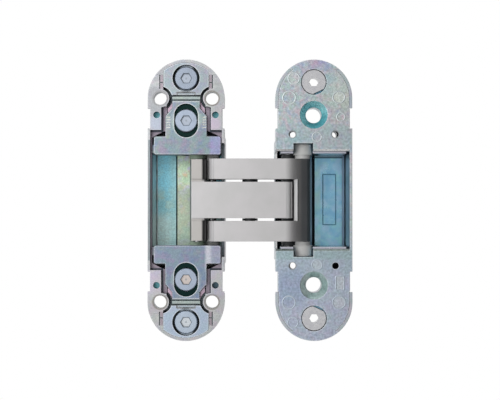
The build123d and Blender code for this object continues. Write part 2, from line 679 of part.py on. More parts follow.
def strap_sketch(grow_x, grow_z):
    """Strap that joins the door cage to the upper eccentric, about the leaf middle."""
    plan = span(-STRAP_HALF - grow_x, STRAP_HALF + grow_x, CAGE_HALF, ECCENTRIC_Z)
    plan += at(0, SCREW_Z, Circle(STRAP_EYE + grow_x))
    return plan + at(0, ECCENTRIC_Z, Circle(STRAP_HEAD + max(grow_x, grow_z)))


def strap():
    """Upper strap with its screw clearance and its cam slot."""
    plan = strap_sketch(0, 0)
    clear = SCREW_BOSS_RADIUS + LATERAL_TRAVEL + SLIDE_FIT
    plan -= at(0, SCREW_Z, Circle(clear))
    cam = SlotCenterToCenter(CAM_SLOT, 2 * (CAM_RADIUS + CAM_FIT), rotation=90)
    plan -= at(0, ECCENTRIC_Z + ECCENTRIC_THROW - CAM_SLOT / 4, cam)
    return deep(plan, STRAP_FRONT, STRAP_BACK)


def door_cage():
    """Carrier that holds the door pivot and the roller tracks, shifted sideways by the eccentrics."""
    left = LEAF_X - DOOR_CAGE_HALF
    right = LEAF_X + DOOR_CAGE_HALF
    front = PLATE_THICK + SLIDE_FIT
    walls = tall(span(left, right, front, CAGE_BACK), CAGE_HALF, TRACK_END)
    walls += Pos(LEAF_X, 0, 0) * strap()
    mouth_half = ROLLER_RADIUS + TRACK_FIT
    track = mirror(track_sketch(), about=Plane.YZ)
    track += span(SLIDE_X - mouth_half, SLIDE_X + mouth_half, 0, SLIDE_DEPTH)
    cage = both_ends(walls - tall(track, CAGE_HALF - LAP, TRACK_END))
    floor_left = LEAF_X + DOOR_FLOOR_EDGE
    cage += tall(span(floor_left, right, DOOR_FLOOR_FRONT, CAGE_BACK), -CAGE_HALF, CAGE_HALF)
    emblem = Rectangle(EMBLEM_WIDTH, EMBLEM_HEIGHT)
    emblem -= Rectangle(EMBLEM_WIDTH - 2 * EMBLEM_LINE, EMBLEM_HEIGHT - 2 * EMBLEM_LINE)
    rise = DOOR_FLOOR_FRONT - EMBLEM_RISE
    cage += deep(at(LEAF_X + EMBLEM_X, EMBLEM_Z, emblem), rise, DOOR_FLOOR_FRONT + LAP)
    reach = TRACK_END + LAP
    return cage - rod(PIVOT_X, PIVOT_DEPTH, PIVOT_PIN_RADIUS + PRESS_FIT, -reach, reach)


def wing_band(start, width):
    """Bands along both sides of the upper end of the door leaf, about its middle."""
    inner = leaf_outline(BODY_WIDTH - 2 * width, BODY_HEIGHT - 2 * width)
    return leaf_outline(BODY_WIDTH, BODY_HEIGHT) - inner & (
        span(-BODY_WIDTH, BODY_WIDTH, start, WING_END)
    )


def door_plate():
    """Face plate of the door leaf."""
    plan = leaf_outline(BODY_WIDTH, BODY_HEIGHT)
    plan -= span(-END_RADIUS - LAP, DOOR_POCKET_HALF, -PLATE_OPENING, PLATE_OPENING)
    plan -= at(SLIDE_X - LEAF_X, 0, Rectangle(2 * SHOE_NOTCH_HALF, 2 * SHOE_NOTCH_END))
    band = wing_band(WING_START - WING_END_GAP, WING_WIDTH + WING_GAP)
    plan -= band + mirror(band, about=Plane.XZ)
    plate = deep(plan, 0, PLATE_THICK)
    lips = plate.edges().filter_by(Axis.X).group_by(Axis.Y)[0]
    lips = lips.filter_by(lambda e: abs(abs(e.center().Z) - PLATE_OPENING) < 0.01)
    plate = chamfer(lips, PLATE_BEVEL)
    cuts = dowel(0, ECCENTRIC_Z, DISC_RADIUS + DISC_FIT, -LAP, PLATE_THICK + LAP)
    cuts += dowel(0, SCREW_Z, SCREW_HOLE_RADIUS, -LAP, PLATE_THICK + LAP)
    sink = Cone(SINK_RADIUS, SCREW_HOLE_RADIUS, SINK_RADIUS - SCREW_HOLE_RADIUS)
    sink = Rot(-90, 0, 0) * sink
    cuts += Pos(0, (SINK_RADIUS - SCREW_HOLE_RADIUS) / 2, SCREW_Z) * sink
    for side in (-1, 1):
        cuts += dowel(side * VENT_X, VENT_Z, VENT_RADIUS, -LAP, PLATE_THICK + LAP)
    plate = Pos(LEAF_X, 0, 0) * (plate - both_ends(cuts))
    return plate - side_notches(LEAF_X, PLATE_THICK + LAP)


def door_housing():
    """Die-cast door leaf behind the face plate: end pads, deep pocket and strap seats."""
    pocket_end = TRACK_END + SLIDE_FIT
    body = deep(leaf_outline(BODY_WIDTH, BODY_HEIGHT), PLATE_THICK, PAD_DEPTH)
    wing = deep(wing_band(WING_START, WING_WIDTH), WING_GAP, PLATE_THICK + LAP)
    body += both_ends(wing)
    body += deep(Rectangle(BODY_WIDTH, 2 * (pocket_end + SIDE_WALL)), PLATE_THICK, DOOR_DEPTH)
    body -= deep(Rectangle(2 * DOOR_POCKET_HALF, 2 * pocket_end), 0, DOOR_DEPTH - FLOOR_WALL)
    seat = strap_sketch(LATERAL_TRAVEL + SLIDE_FIT, STRAP_SEAT_FIT)
    seat -= at(0, SCREW_Z, Circle(SCREW_BOSS_RADIUS))
    cuts = deep(seat, 0, STRAP_RECESS)
    cuts += dowel(0, ECCENTRIC_Z, ECCENTRIC_THROW + CAM_RADIUS + DISC_FIT, 0, STRAP_RECESS)
    cuts += dowel(0, ECCENTRIC_Z, JOURNAL_RADIUS + RUN_FIT, 0, PAD_DEPTH + LAP)
    cuts += dowel(0, SCREW_Z, SCREW_HOLE_RADIUS, 0, PAD_DEPTH + LAP)
    body -= both_ends(cuts)
    for x, z in ((-VENT_BACK_X, VENT_Z), (VENT_BACK_X, VENT_Z), (-VENT_BACK_X, -VENT_Z)):
        body -= dowel(x, z, VENT_BACK_RADIUS, 0, PAD_DEPTH + LAP)
    body -= dowel(VENT_BACK_X, -VENT_Z, VENT_BACK_RADIUS, 0, PAD_DEPTH - VENT_BLIND_WALL)
    window = span(-END_RADIUS - LAP, 0, -PLATE_OPENING, PLATE_OPENING)
    body -= deep(window, 0, DOOR_WINDOW_DEPTH)
    return Pos(LEAF_X, 0, 0) * body - side_notches(LEAF_X, PAD_DEPTH + LAP)


def eccentric():
    """Upper eccentric about the leaf middle: disc in the face plate, cam in the strap, journal behind."""
    disc = at(0, ECCENTRIC_Z, Circle(DISC_RADIUS))
    flat = Rot(0, 0, FLAT_ANGLE) * Pos(DISC_RADIUS, 0) * Rectangle(2 * DISC_FLAT, 2 * DISC_RADIUS)
    disc -= at(0, ECCENTRIC_Z, flat)
    cam_z = ECCENTRIC_Z + ECCENTRIC_THROW
    cam_front = STRAP_FRONT - SLIDE_FIT
    stack = deep(disc, EAR_FRONT, cam_front)
    stack += dowel(0, cam_z, CAM_RADIUS, cam_front, STRAP_RECESS - FACE_FIT)
    stack += dowel(0, ECCENTRIC_Z, JOURNAL_RADIUS, STRAP_BACK, PAD_DEPTH - FACE_FIT)
    stack -= deep(at(0, ECCENTRIC_Z, RegularPolygon(HEX_RADIUS, 6)), -LAP, PAD_DEPTH)
    return stack - dowel(0, ECCENTRIC_Z, KEY_BORE_RADIUS, EAR_FRONT + HEX_DEPTH, PAD_DEPTH + LAP)


def on_frame(shape):
    """A shape about the leaf middle placed on the frame leaf."""
    return Pos(-LEAF_X, 0, 0) * shape


def on_door(shape):
    """A shape about the leaf middle placed on the door leaf."""
    return Pos(LEAF_X, 0, 0) * shape


def build_all():
    """Every node of the hinge by name."""
    arm_end = ARM_HEIGHT / 2
    spacer_end = CAGE_HALF - END_FIT
    cage_pin_end = CAGE_END - SLIDE_FIT
    slide_pin_end = TRACK_END - PIN_END_FIT
    nodes = {
        "frame_housing": frame_housing(),
        "frame_cage": frame_cage(),
        "fork_arm": fork_arm(),
        "middle_arm": middle_arm(),
        "door_cage": door_cage(),
        "door_housing": door_housing(),
        "door_face_plate": door_plate(),
        "frame_pivot_pin": rod(-PIVOT_X, PIVOT_DEPTH, PIVOT_PIN_RADIUS, -cage_pin_end, cage_pin_end),
        "door_pivot_pin": rod(PIVOT_X, PIVOT_DEPTH, PIVOT_PIN_RADIUS, -TRACK_END, TRACK_END),
        "cross_pin": rod(0, CROSS_DEPTH, CROSS_PIN_RADIUS, -arm_end, arm_end),
        "frame_slide_pin": rod(-SLIDE_X, SLIDE_DEPTH, SLIDE_PIN_RADIUS, -slide_pin_end, slide_pin_end),
        "door_slide_pin": rod(SLIDE_X, SLIDE_DEPTH, SLIDE_PIN_RADIUS, -slide_pin_end, slide_pin_end),
    }
    paired = {
        "hook_block": on_frame(hook_block()),
        "clamp_screw": on_frame(clamp_screw()),
        "depth_screw": on_frame(depth_screw()),
        "eccentric": on_door(eccentric()),
        "frame_roller": roller(-SLIDE_X, 1),
        "door_roller": roller(SLIDE_X, 1),
        "cross_washer": ring(
            0, CROSS_DEPTH, WASHER_RADIUS, CROSS_PIN_RADIUS + RUN_FIT,
            MIDDLE_HEIGHT / 2 + FACE_FIT, PRONG_START - FACE_FIT,
        ),
        "frame_spacer": ring(
            -PIVOT_X, PIVOT_DEPTH, SPACER_RADIUS, PIVOT_PIN_RADIUS + RUN_FIT,
            arm_end + END_FIT, spacer_end,
        ),
        "door_sleeve": ring(
            PIVOT_X, PIVOT_DEPTH, SLEEVE_RADIUS, PIVOT_PIN_RADIUS + RUN_FIT,
            MIDDLE_HEIGHT / 2 + END_FIT, spacer_end,
        ),
    }
    for name, shape in paired.items():
        nodes["upper_" + name] = shape
        nodes["lower_" + name] = mirror(shape, about=Plane.XY)
    return nodes


os.makedirs("parts", exist_ok=True)
for node, solid in build_all().items():
    export_step(Pos(LEAF_X, 0, 0) * solid, f"parts/{node}.step")
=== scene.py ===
"""Looks of a concealed door hinge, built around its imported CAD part."""
import logging
from dataclasses import dataclass
from enum import Enum

import bpy
import numpy as np
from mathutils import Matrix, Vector


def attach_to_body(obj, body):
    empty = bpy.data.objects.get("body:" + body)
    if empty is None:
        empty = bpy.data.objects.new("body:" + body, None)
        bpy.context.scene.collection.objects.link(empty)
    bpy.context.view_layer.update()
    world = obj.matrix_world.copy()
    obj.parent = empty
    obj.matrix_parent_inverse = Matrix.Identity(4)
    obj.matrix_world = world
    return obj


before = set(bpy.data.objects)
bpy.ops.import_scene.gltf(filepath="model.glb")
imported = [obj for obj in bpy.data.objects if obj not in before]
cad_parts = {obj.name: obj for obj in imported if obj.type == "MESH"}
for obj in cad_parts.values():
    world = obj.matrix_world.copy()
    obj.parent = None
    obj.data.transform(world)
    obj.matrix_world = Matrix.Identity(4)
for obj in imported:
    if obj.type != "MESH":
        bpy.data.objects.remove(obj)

LOG = logging.getLogger("hinge")
MM = 0.001
Colour = tuple[float, float, float, float]
Spot = tuple[float, float]
Band = tuple[float, float]
Node = bpy.types.Node
Socket = bpy.types.NodeSocket
Feed = Node | Socket | float | tuple

SMOOTH = {"interpolation_type": "SMOOTHSTEP"}
NOISE_ROUGHNESS = 0.55
# Noise levels between which clouds and mottle fade in, and the match of normals between which an edge does.
CLOUD_LEVELS = (0.44, 0.62)
MOTTLE_LEVELS = (0.35, 0.65)
EDGE_MATCH = (0.995, 0.92)
# A Mix node for colours: its inputs for the share and the two colours, and its output.
SHARE, UNDER, OVER, MIXED = 0, 6, 7, 2


def linear(code: str) -> Colour:
    """Linear colour of an sRGB hex code.

    Args:
        code: six hex digits, with or without a leading hash.

    Returns:
        Linear red, green, blue and full alpha.
    """
    digits = code.lstrip("#")
    srgb = np.array([int(digits[i:i + 2], 16) for i in (0, 2, 4)]) / 255
    low = srgb / 12.92
    high = ((srgb + 0.055) / 1.055) ** 2.4
    red, green, blue = np.where(srgb <= 0.04045, low, high)
    return float(red), float(green), float(blue), 1.0


class Graph:
    """Node tree of a material or of the world, with the patterns that the finishes share."""

    def __init__(self, owner: bpy.types.Material | bpy.types.World) -> None:
        """Starts an empty tree.

        Args:
            owner: the material or world that the tree belongs to.
        """
        owner.use_nodes = True
        self.owner = owner
        self.tree = owner.node_tree
        self.tree.nodes.clear()

    def add(self, kind: str, *feeds: Feed, named: dict | None = None, **settings: object) -> Node:
        """Adds a node.

        Args:
            kind: Blender's node type, without its leading ShaderNode.
            feeds: what goes into the first inputs: a value, a socket, or a node for its first output.
            named: name or number of an input to what goes into it.
            settings: attributes of the node itself.

        Returns:
            The new node.
        """
        node = self.tree.nodes.new("ShaderNode" + kind)
        for key, value in settings.items():
            setattr(node, key, value)
        for key, feed in (*enumerate(feeds), *(named or {}).items()):
            source = feed.outputs[0] if isinstance(feed, Node) else feed
            if isinstance(source, Socket):
                self.tree.links.new(source, node.inputs[key])
            else:
                node.inputs[key].default_value = source
        return node

    def place(self) -> Node:
        """Position on the piece at rest, in mm."""
        coords = self.add("TexCoord").outputs["Object"]
        return self.add("VectorMath", coords, named={"Scale": 1 / MM}, operation="SCALE")

    def product(self, first: Feed, *others: Feed) -> Feed:
        """Product of several shares.

        Args:
            first: a share.
            others: shares to multiply it by.

        Returns:
            The product.
        """
        for other in others:
            first = self.add("Math", first, other, operation="MULTIPLY")
        return first

    def shimmer(self, place: Node, size: float, colours: tuple[str, ...]) -> Socket | Colour:
        """Soft cloudy patches of several colours.

        Args:
            place: position in mm.
            size: size of the patches in mm.
            colours: hex codes; each later one lies in clouds of its own over those before.

        Returns:
            The blended colour.
        """
        blend: Socket | Colour = linear(colours[0])
        for step, colour in enumerate(colours[1:], 1):
            shift = (31.0 * step, 0.0, 17.0 * step)
            moved = self.add("VectorMath", place, shift, operation="ADD")
            clouds = {"Vector": moved, "Scale": 1 / size, "Detail": 7.0, "Roughness": NOISE_ROUGHNESS}
            share = self.add("MapRange", self.add("TexNoise", named=clouds), *CLOUD_LEVELS, **SMOOTH)
            tints = {SHARE: share, UNDER: blend, OVER: linear(colour)}
            blend = self.add("Mix", named=tints, data_type="RGBA").outputs[MIXED]
        return blend

    def radius(self, place: Node, x: float, z: float) -> Socket:
        """Distance from a line that runs straight into the wood.

        Args:
            place: position in mm.
            x: where the line lies across, in mm.
            z: its height in mm.

        Returns:
            The distance in mm.
        """
        gap = self.add("VectorMath", place, (x, 0, z), operation="SUBTRACT")
        flat = self.add("VectorMath", gap, (1, 0, 1), operation="MULTIPLY")
        return self.add("VectorMath", flat, operation="LENGTH").outputs["Value"]

    def hexagon(self, place: Node, x: float, z: float) -> Feed:
        """Size of the hexagon through each point, about such a line, with corners to left and right.

        It is max(|v|, |u cos 30 + v sin 30|, |u cos 30 - v sin 30|), with u and v measured from x and z.

        Args:
            place: position in mm.
            x: where the line lies across, in mm.
            z: its height in mm.

        Returns:
            The distance from the line to the hexagon's flats in mm.
        """
        gap = self.add("VectorMath", place, (x, 0, z), operation="SUBTRACT")
        reach: Feed = 0.0
        for angle in np.radians((-30.0, 30.0, 90.0)):
            way = (float(np.cos(angle)), 0.0, float(np.sin(angle)))
            along = self.add("VectorMath", gap, way, operation="DOT_PRODUCT").outputs["Value"]
            size = self.add("Math", along, operation="ABSOLUTE")
            reach = self.add("Math", reach, size, operation="MAXIMUM")
        return reach

    def rim(self, place: Node, width: float, depth: float) -> Feed:
        """Share of each point that lies on an edge.

        Args:
            place: position in mm.
            width: width of the edge in mm.
            depth: depth below which no edge counts, in mm.

        Returns:
            One on the edges near the front, nought on flats.
        """
        rounded = self.add("Bevel", named={"Radius": width * MM}, samples=8)
        flat = self.add("NewGeometry").outputs["True Normal"]
        match = self.add("VectorMath", rounded, flat, operation="DOT_PRODUCT").outputs["Value"]
        inward = self.add("SeparateXYZ", place).outputs["Y"]
        front = self.add("MapRange", inward, depth, depth / 2, **SMOOTH)
        return self.product(self.add("MapRange", match, *EDGE_MATCH, **SMOOTH), front)

    def finish(self, inputs: dict) -> bpy.types.Material:
        """Closes the tree with a principled surface.

        Args:
            inputs: what goes into the inputs of the surface, by name.

        Returns:
            The material.
        """
        self.add("OutputMaterial", self.add("BsdfPrincipled", named=inputs))
        return self.owner


@dataclass(frozen=True)
class FilmOrPaintedLight:
    """Colour over a round or banded part of a casting, in mm: a tint of its passivation, or painted shade or
    a painted highlight at one place.

    With no centre it covers a band. Across, depths and heights limit where it shows. A mirrored one
    repeats at all four quarters about the frame leaf's middle. One of several colours shimmers between
    them. Polish is taken off the roughness where it lies, and a negative one leaves it duller.
    """

    colour: str | tuple[str, ...]
    share: float
    centre: Spot | None = None
    reach: float = 5.0
    soft: float = 2.0
    depths: Band | None = None
    soft_depth: float = 0.1
    across: Band | None = None
    heights: Band | None = None
    patchy: float = 0.0
    polish: float = 0.0
    mirrored: bool = False
    six_sided: bool = False

    def mask(self, graph: Graph, place: Node, patches: Node) -> Feed:
        """Strength of the film at each point.

        Args:
            graph: tree to add to.
            place: position in mm.
            patches: noise that breaks up a patchy film.

        Returns:
            The share of the film's colour.
        """
        if self.mirrored:
            place = graph.add("VectorMath", place, operation="ABSOLUTE")
        ramps: list[tuple[Feed, float, float]] = []
        if self.centre is not None:
            gap = (graph.hexagon if self.six_sided else graph.radius)(place, *self.centre)
            ramps.append((gap, self.reach + self.soft, self.reach))
        axes = graph.add("SeparateXYZ", place).outputs
        bands = (
            ("X", self.across, self.soft),
            ("Y", self.depths, self.soft_depth),
            ("Z", self.heights, self.soft),
        )
        for name, band, soft in bands:
            if band is not None:
                low, high = band
                ramps.append((axes[name], low - soft, low))
                ramps.append((axes[name], high + soft, high))
        if self.patchy > 0:
            ramps.append((patches, 0.5 - self.patchy / 4, 0.5 + self.patchy / 4))
        return graph.product(self.share, *(graph.add("MapRange", *ramp, **SMOOTH) for ramp in ramps))

    def shade(self, graph: Graph, place: Node, size: float) -> Socket | Colour:
        """Colour of the film, in clouds where it has several.

        Args:
            graph: tree to add to.
            place: position in mm.
            size: size of the clouds in mm.

        Returns:
            The colour.
        """
        if isinstance(self.colour, str):
            return linear(self.colour)
        return graph.shimmer(place, size, self.colour)


@dataclass(frozen=True)
class Shell:
    """Outer skin of a leaf, in mm, where the layers of colour and painted shade of its face and its inside
    stop.

    The inside lies closer than reach to the leaf's midline, which runs up and down by half. It also lies in
    front of the floor's back in the middle and of the pads' back at the ends.
    """

    x: float
    floor: float
    pads: float = 9.75
    pocket: float = 23.0
    reach: float = 14.6
    half: float = 40.0
    face: float = 0.3
    soft: float = 0.2
    soft_pads: float = 0.15
    soft_face: float = 0.1

    def inside(self, graph: Graph, place: Node) -> Feed:
        """Share of the inside and the face at each point.

        Args:
            graph: tree to add to.
            place: position in mm.

        Returns:
            One on the inside and the face, nought on the outer skin.
        """
        gap = graph.add("VectorMath", place, (self.x, 0, 0), operation="SUBTRACT")
        aside = graph.add("VectorMath", gap, operation="ABSOLUTE")
        past = graph.add("VectorMath", aside, (0, 0, self.half), operation="SUBTRACT")
        away = graph.radius(graph.add("VectorMath", past, (0, 0, 0), operation="MAXIMUM"), 0, 0)
        height = graph.add("SeparateXYZ", aside).outputs["Z"]
        depth = graph.add("SeparateXYZ", place).outputs["Y"]
        limits = (
            (away, self.reach, self.soft),
            (height, self.pocket, self.soft),
            (depth, self.floor, self.soft),
            (depth, self.pads, self.soft_pads),
            (depth, self.face, self.soft_face),
        )
        near, middle, floor, pads, face = (
            graph.add("MapRange", value, limit + soft, limit, **SMOOTH) for value, limit, soft in limits
        )
        deep = graph.add("Math", graph.product(middle, floor), pads, operation="MAXIMUM")
        return graph.add("Math", graph.product(near, deep), face, operation="MAXIMUM")


@dataclass(frozen=True)
class PlatedCasting:
    """Cast or plated metal: mottled under a thin coloured passivation, with painted shade and painted
    highlights laid over it in places, and a fine grain; sizes in mm.

    The first layer of colour covers all of it; the others stop at the shell where there is one.
    """

    # The grain of a real casting is about 0.1 mm and a pixel covers 0.4 mm, so it is drawn coarser to show.
    name: str
    base: str
    mottle: str
    films_and_painted_light: tuple[FilmOrPaintedLight, ...] = ()
    roughness: float = 0.36
    uneven: float = 0.2
    metallic: float = 0.9
    mottle_size: float = 5.0
    shimmer_size: float = 4.0
    grain_size: float = 0.35
    grain: float = 0.10
    bump: float = 0.010
    edge: float = 0.18
    # rim is the share of a painted highlight along the edges near the front, in rim_colour.
    rim: float = 0.0
    rim_width: float = 0.8
    rim_depth: float = 0.8
    rim_colour: str = "#F2F4F6"
    shell: Shell | None = None

    def build(self) -> bpy.types.Material:
        """Makes the material.

        Returns:
            The material.
        """
        graph = Graph(bpy.data.materials.new(self.name))
        place = graph.place()
        sizes = ((self.mottle_size, 4.0), (self.grain_size, 2.0), (2 * self.mottle_size, 3.0))
        same = {"Vector": place, "Roughness": NOISE_ROUGHNESS}
        mottle, grain, patches = (
            graph.add("TexNoise", named=same | {"Scale": 1 / size, "Detail": detail})
            for size, detail in sizes
        )
        cloud = graph.add("MapRange", mottle, *MOTTLE_LEVELS, **SMOOTH)
        tints = {SHARE: cloud, UNDER: linear(self.base), OVER: linear(self.mottle)}
        colour = graph.add("Mix", named=tints, data_type="RGBA").outputs[MIXED]
        smooth = self.roughness - self.uneven / 2
        rough = graph.add("Math", mottle, self.uneven, smooth, operation="MULTIPLY_ADD")
        inside = self.shell.inside(graph, place) if self.shell is not None else None
        for overlay in self.films_and_painted_light:
            mask = overlay.mask(graph, place, patches)
            if inside is not None and overlay is not self.films_and_painted_light[0]:
                mask = graph.product(mask, inside)
            tints = {SHARE: mask, UNDER: colour, OVER: overlay.shade(graph, place, self.shimmer_size)}
            colour = graph.add("Mix", named=tints, data_type="RGBA").outputs[MIXED]
            if overlay.polish != 0:
                rough = graph.add("Math", rough, graph.product(overlay.polish, mask), operation="SUBTRACT")
        # Painted highlight along the edges near the front, where the bevelled normal turns from the flat
        # one.
        if self.rim > 0:
            edge_highlight = graph.product(self.rim, graph.rim(place, self.rim_width, self.rim_depth))
            tints = {SHARE: edge_highlight, UNDER: colour, OVER: linear(self.rim_colour)}
            colour = graph.add("Mix", named=tints, data_type="RGBA").outputs[MIXED]
        level = graph.add("Math", grain, self.grain, 1 - self.grain / 2, operation="MULTIPLY_ADD")
        soft_edge = graph.add("Bevel", named={"Radius": self.edge * MM}, samples=4)
        relief = {"Height": grain, "Distance": self.bump * MM, "Normal": soft_edge}
        return graph.finish({
            "Base Color": graph.add("VectorMath", colour, named={"Scale": level}, operation="SCALE"),
            "Metallic": self.metallic,
            "Roughness": rough,
            "Normal": graph.add("Bump", named=relief),
        })


@dataclass(frozen=True)
class MouldedPlastic:
    """Moulded bearing plastic with a faint spark-eroded texture; sizes in mm."""

    # The texture of a real mould is about 0.05 mm, too fine to show, so it is drawn coarser.
    name: str
    base: str
    roughness: float = 0.5
    grain_size: float = 0.3
    bump: float = 0.006
    shade: float = 0.85

    def build(self) -> bpy.types.Material:
        """Makes the material.

        Returns:
            The material.
        """
        graph = Graph(bpy.data.materials.new(self.name))
        specks = {"Scale": 1 / self.grain_size, "Detail": 3.0, "Roughness": NOISE_ROUGHNESS}
        grain = graph.add("TexNoise", named={"Vector": graph.place()} | specks)
        dark = tuple(self.shade * c for c in linear(self.base)[:3]) + (1.0,)
        tints = {SHARE: grain, UNDER: dark, OVER: linear(self.base)}
        return graph.finish({
            "Base Color": graph.add("Mix", named=tints, data_type="RGBA").outputs[MIXED],
            "Roughness": self.roughness,
            "Normal": graph.add("Bump", named={"Height": grain, "Distance": self.bump * MM}),
        })


# Middle of the door leaf, and heights of the screws and of the sinks round the eccentrics, in mm.
DOOR_X = 50.0
CLAMP_Z = 31.1
DEPTH_Z = 47.7
SINK_Z = 33.35
# Vent holes of the door leaf: three go right through, and the fourth is blind; painted shade makes it black.
VENTS: tuple[Spot, ...] = ((58.4, 25.7), (41.6, 25.7), (41.6, -25.7))
BLIND_VENT: Spot = (58.4, -25.7)
# Depths of the surfaces that films lie on, in mm from the front.
FACE: Band = (-1.0, 0.1)
FRONT: Band = (-1.0, 1.0)
PEG_HOLE: Band = (2.0, 5.0)
PEG_SEAT: Band = (3.5, 4.3)
HOOK_FACE: Band = (-1.0, 0.85)
HOOK_GAP: Band = (0.9, 8.0)
SOCKET_WALL: Band = (-1.0, 0.92)
SOCKET_FLOOR: Band = (0.94, 1.2)
CAGE_RIB: Band = (23.0, 23.9)
CAGE_FLOOR: Band = (24.2, 25.3)
ARM_FACE: Band = (-2.0, 3.0)
ARM_END: Band = (-2.0, 9.0)
PLATE_LIP: Band = (0.05, 0.85)
PLATE_WALL: Band = (0.3, 4.0)
PLATE_SINK: Band = (0.12, 2.6)
DOOR_VENT: Band = (0.3, 9.0)
DOOR_FLOOR: Band = (25.8, 30.0)
STRAP: Band = (21.2, 23.5)
# Heights of the prongs, the middle arm and its end, the door pocket and the plate's lower end, in mm.
PRONG: Band = (8.2, 17.0)
MIDDLE_FACE: Band = (-7.3, 7.3)
MIDDLE_END: Band = (-8.0, 8.0)
POCKET: Band = (-19.0, 19.0)
LOWER_END: Band = (-60.0, -22.0)

# Colours that a thin passivation film takes on: pale on clear zinc, deeper on blue zinc. Many of the single
# films below stand for the shade or the shine of one place, and not for a tint of the metal.
PASTELS = ("#A7A4C9", "#B4C6CF", "#BBC8B0", "#C7C6C8", "#A3B6CB", "#C4B2C4", "#B0C6C0")
DUSKY = ("#8583AE", "#8CA6B8", "#A3B594", "#A6A5A8", "#7C95B2", "#A48EA8", "#8AA8A2")

# Zinc die casting under a clear passivation: a light satin grey with faint pastel clouds and a visible cast
# grain. Painted shade darkens the recess round the carrier, the seats of the screws, the pocket's walls and
# lines along the corridor walls; painted light lifts the pocket's left inner wall, and a painted highlight
# runs along the edges.
FRAME_ZINC = PlatedCasting(
    "zinc_die_cast_clear_passivated", "#B1AEAD", "#A6A5A8",
    (
        FilmOrPaintedLight(PASTELS, 0.25),
        # Painted shade in the mouths of the four mount holes.
        FilmOrPaintedLight("#6E675C", 0.85, (10.15, 39.8), reach=2.6, soft=0.8, depths=(-1.0, 0.2), mirrored=True),
        # Painted shade on the recess round the carrier.
        FilmOrPaintedLight("#4A575C", 0.75, depths=(0.45, 3.3)),
        FilmOrPaintedLight("#8C818E", 0.90, depths=(3.6, 6.0)),
        FilmOrPaintedLight("#93848F", 0.8, across=(9.0, 10.12), heights=(43.5, 49.1), depths=(0.2, 0.38), soft=0.03,
             mirrored=True),
        # Painted shadow lines along the corridor walls on the shelf.
        FilmOrPaintedLight("#39414A", 0.85, across=(9.15, 9.9), heights=(26.8, 37.0), depths=PEG_SEAT, soft=0.1,
             mirrored=True),
        FilmOrPaintedLight("#39414A", 0.85, across=(9.3, 14.5), heights=(26.8, 27.6), depths=PEG_SEAT, soft=0.1,
             mirrored=True),
        # Painted shade deep in the pocket, and painted light on its left inner wall.
        FilmOrPaintedLight("#5A646A", 0.9, depths=(6.2, 20.0)),
        FilmOrPaintedLight("#FFFFFF", 1.0, across=(-14.0, -13.3), heights=(-22.0, 22.0), depths=(9.0, 28.0), soft=0.1,
             soft_depth=3.0),
        FilmOrPaintedLight("#6E7A80", 0.85, across=(-14.7, -13.7), heights=(-23.5, 23.5), depths=FRONT, soft=0.15),
        FilmOrPaintedLight("#94969C", 0.60, across=(-16.0, -8.0), heights=(28.0, 56.0), depths=(-1.0, 0.2), soft=2.0),
        FilmOrPaintedLight("#5FA0A8", 0.9, (11.5, 33.3), reach=1.3, soft=0.2, depths=PEG_HOLE, mirrored=True),
        FilmOrPaintedLight("#4E5C66", 0.9, (11.5, -33.3), reach=1.3, soft=0.2, depths=PEG_HOLE),
        FilmOrPaintedLight("#C9B2D0", 0.45, (11.0, 30.0), reach=1.5, soft=2.0, depths=FRONT),
        FilmOrPaintedLight("#AEBBD3", 0.40, (-11.0, 30.0), reach=2.0, soft=2.5, depths=FRONT),
        FilmOrPaintedLight("#C4B4D6", 0.35, heights=(-36.0, -28.0), depths=(-1.0, 0.3), patchy=0.6),
    ),
    grain_size=0.6, grain=0.5, rim=0.15, shell=Shell(0.0, 28.2),
)
# The same casting in blue passivation: cooler and darker, with a painted highlight along its edges. Painted
# shade makes the gap round the depth screw nearly black, painted light lifts the gap's top and bottom, and
# painted shadow lines outline a small tab on each block.
HOOK_ZINC = PlatedCasting(
    "zinc_die_cast_hook_blue_passivated", "#8B949C", "#868F9C",
    (
        FilmOrPaintedLight(PASTELS, 0.35),
        # Painted shade, nearly black, on everything deeper than 0.9 mm, the gap round the depth screw among
        # it.
        FilmOrPaintedLight("#0D1517", 0.95, depths=HOOK_GAP),
        # Painted light on the top and bottom of the gap round each depth screw.
        FilmOrPaintedLight("#A8B2BA", 1.0, across=(0.0, 1.6), heights=(42.0, 43.7), depths=HOOK_GAP, soft=1.6,
             mirrored=True),
        FilmOrPaintedLight("#A8B2BA", 1.0, across=(0.0, 1.6), heights=(51.7, 53.4), depths=HOOK_GAP, soft=1.6,
             mirrored=True),
        FilmOrPaintedLight("#98A2A6", 0.9, across=(0.0, 9.0), heights=(41.0, 41.4), depths=(0.5, 7.0), soft=0.05,
             mirrored=True),
        FilmOrPaintedLight("#AFC0D6", 0.55, heights=(-56.0, -41.0), depths=(-1.0, 0.6)),
        FilmOrPaintedLight("#C2ABBC", 0.95, heights=(27.0, 40.8), depths=(2.5, 2.8), soft=0.2, mirrored=True),
        FilmOrPaintedLight("#8C979C", 0.60, across=(0.0, 3.7), heights=(41.1, 42.3), depths=(0.3, 0.6), soft=0.1,
             mirrored=True),
        # Painted shadow lines, as of a groove, round a small tab on each block.
        FilmOrPaintedLight("#182226", 1.0, across=(0.0, 3.5), heights=(41.9, 42.4), depths=HOOK_FACE, soft=0.08,
             mirrored=True),
        FilmOrPaintedLight("#182226", 1.0, across=(3.3, 3.8), heights=(41.3, 42.2), depths=HOOK_FACE, soft=0.08,
             mirrored=True),
    ),
    grain_size=0.6, grain=0.6, rim=0.40,
)
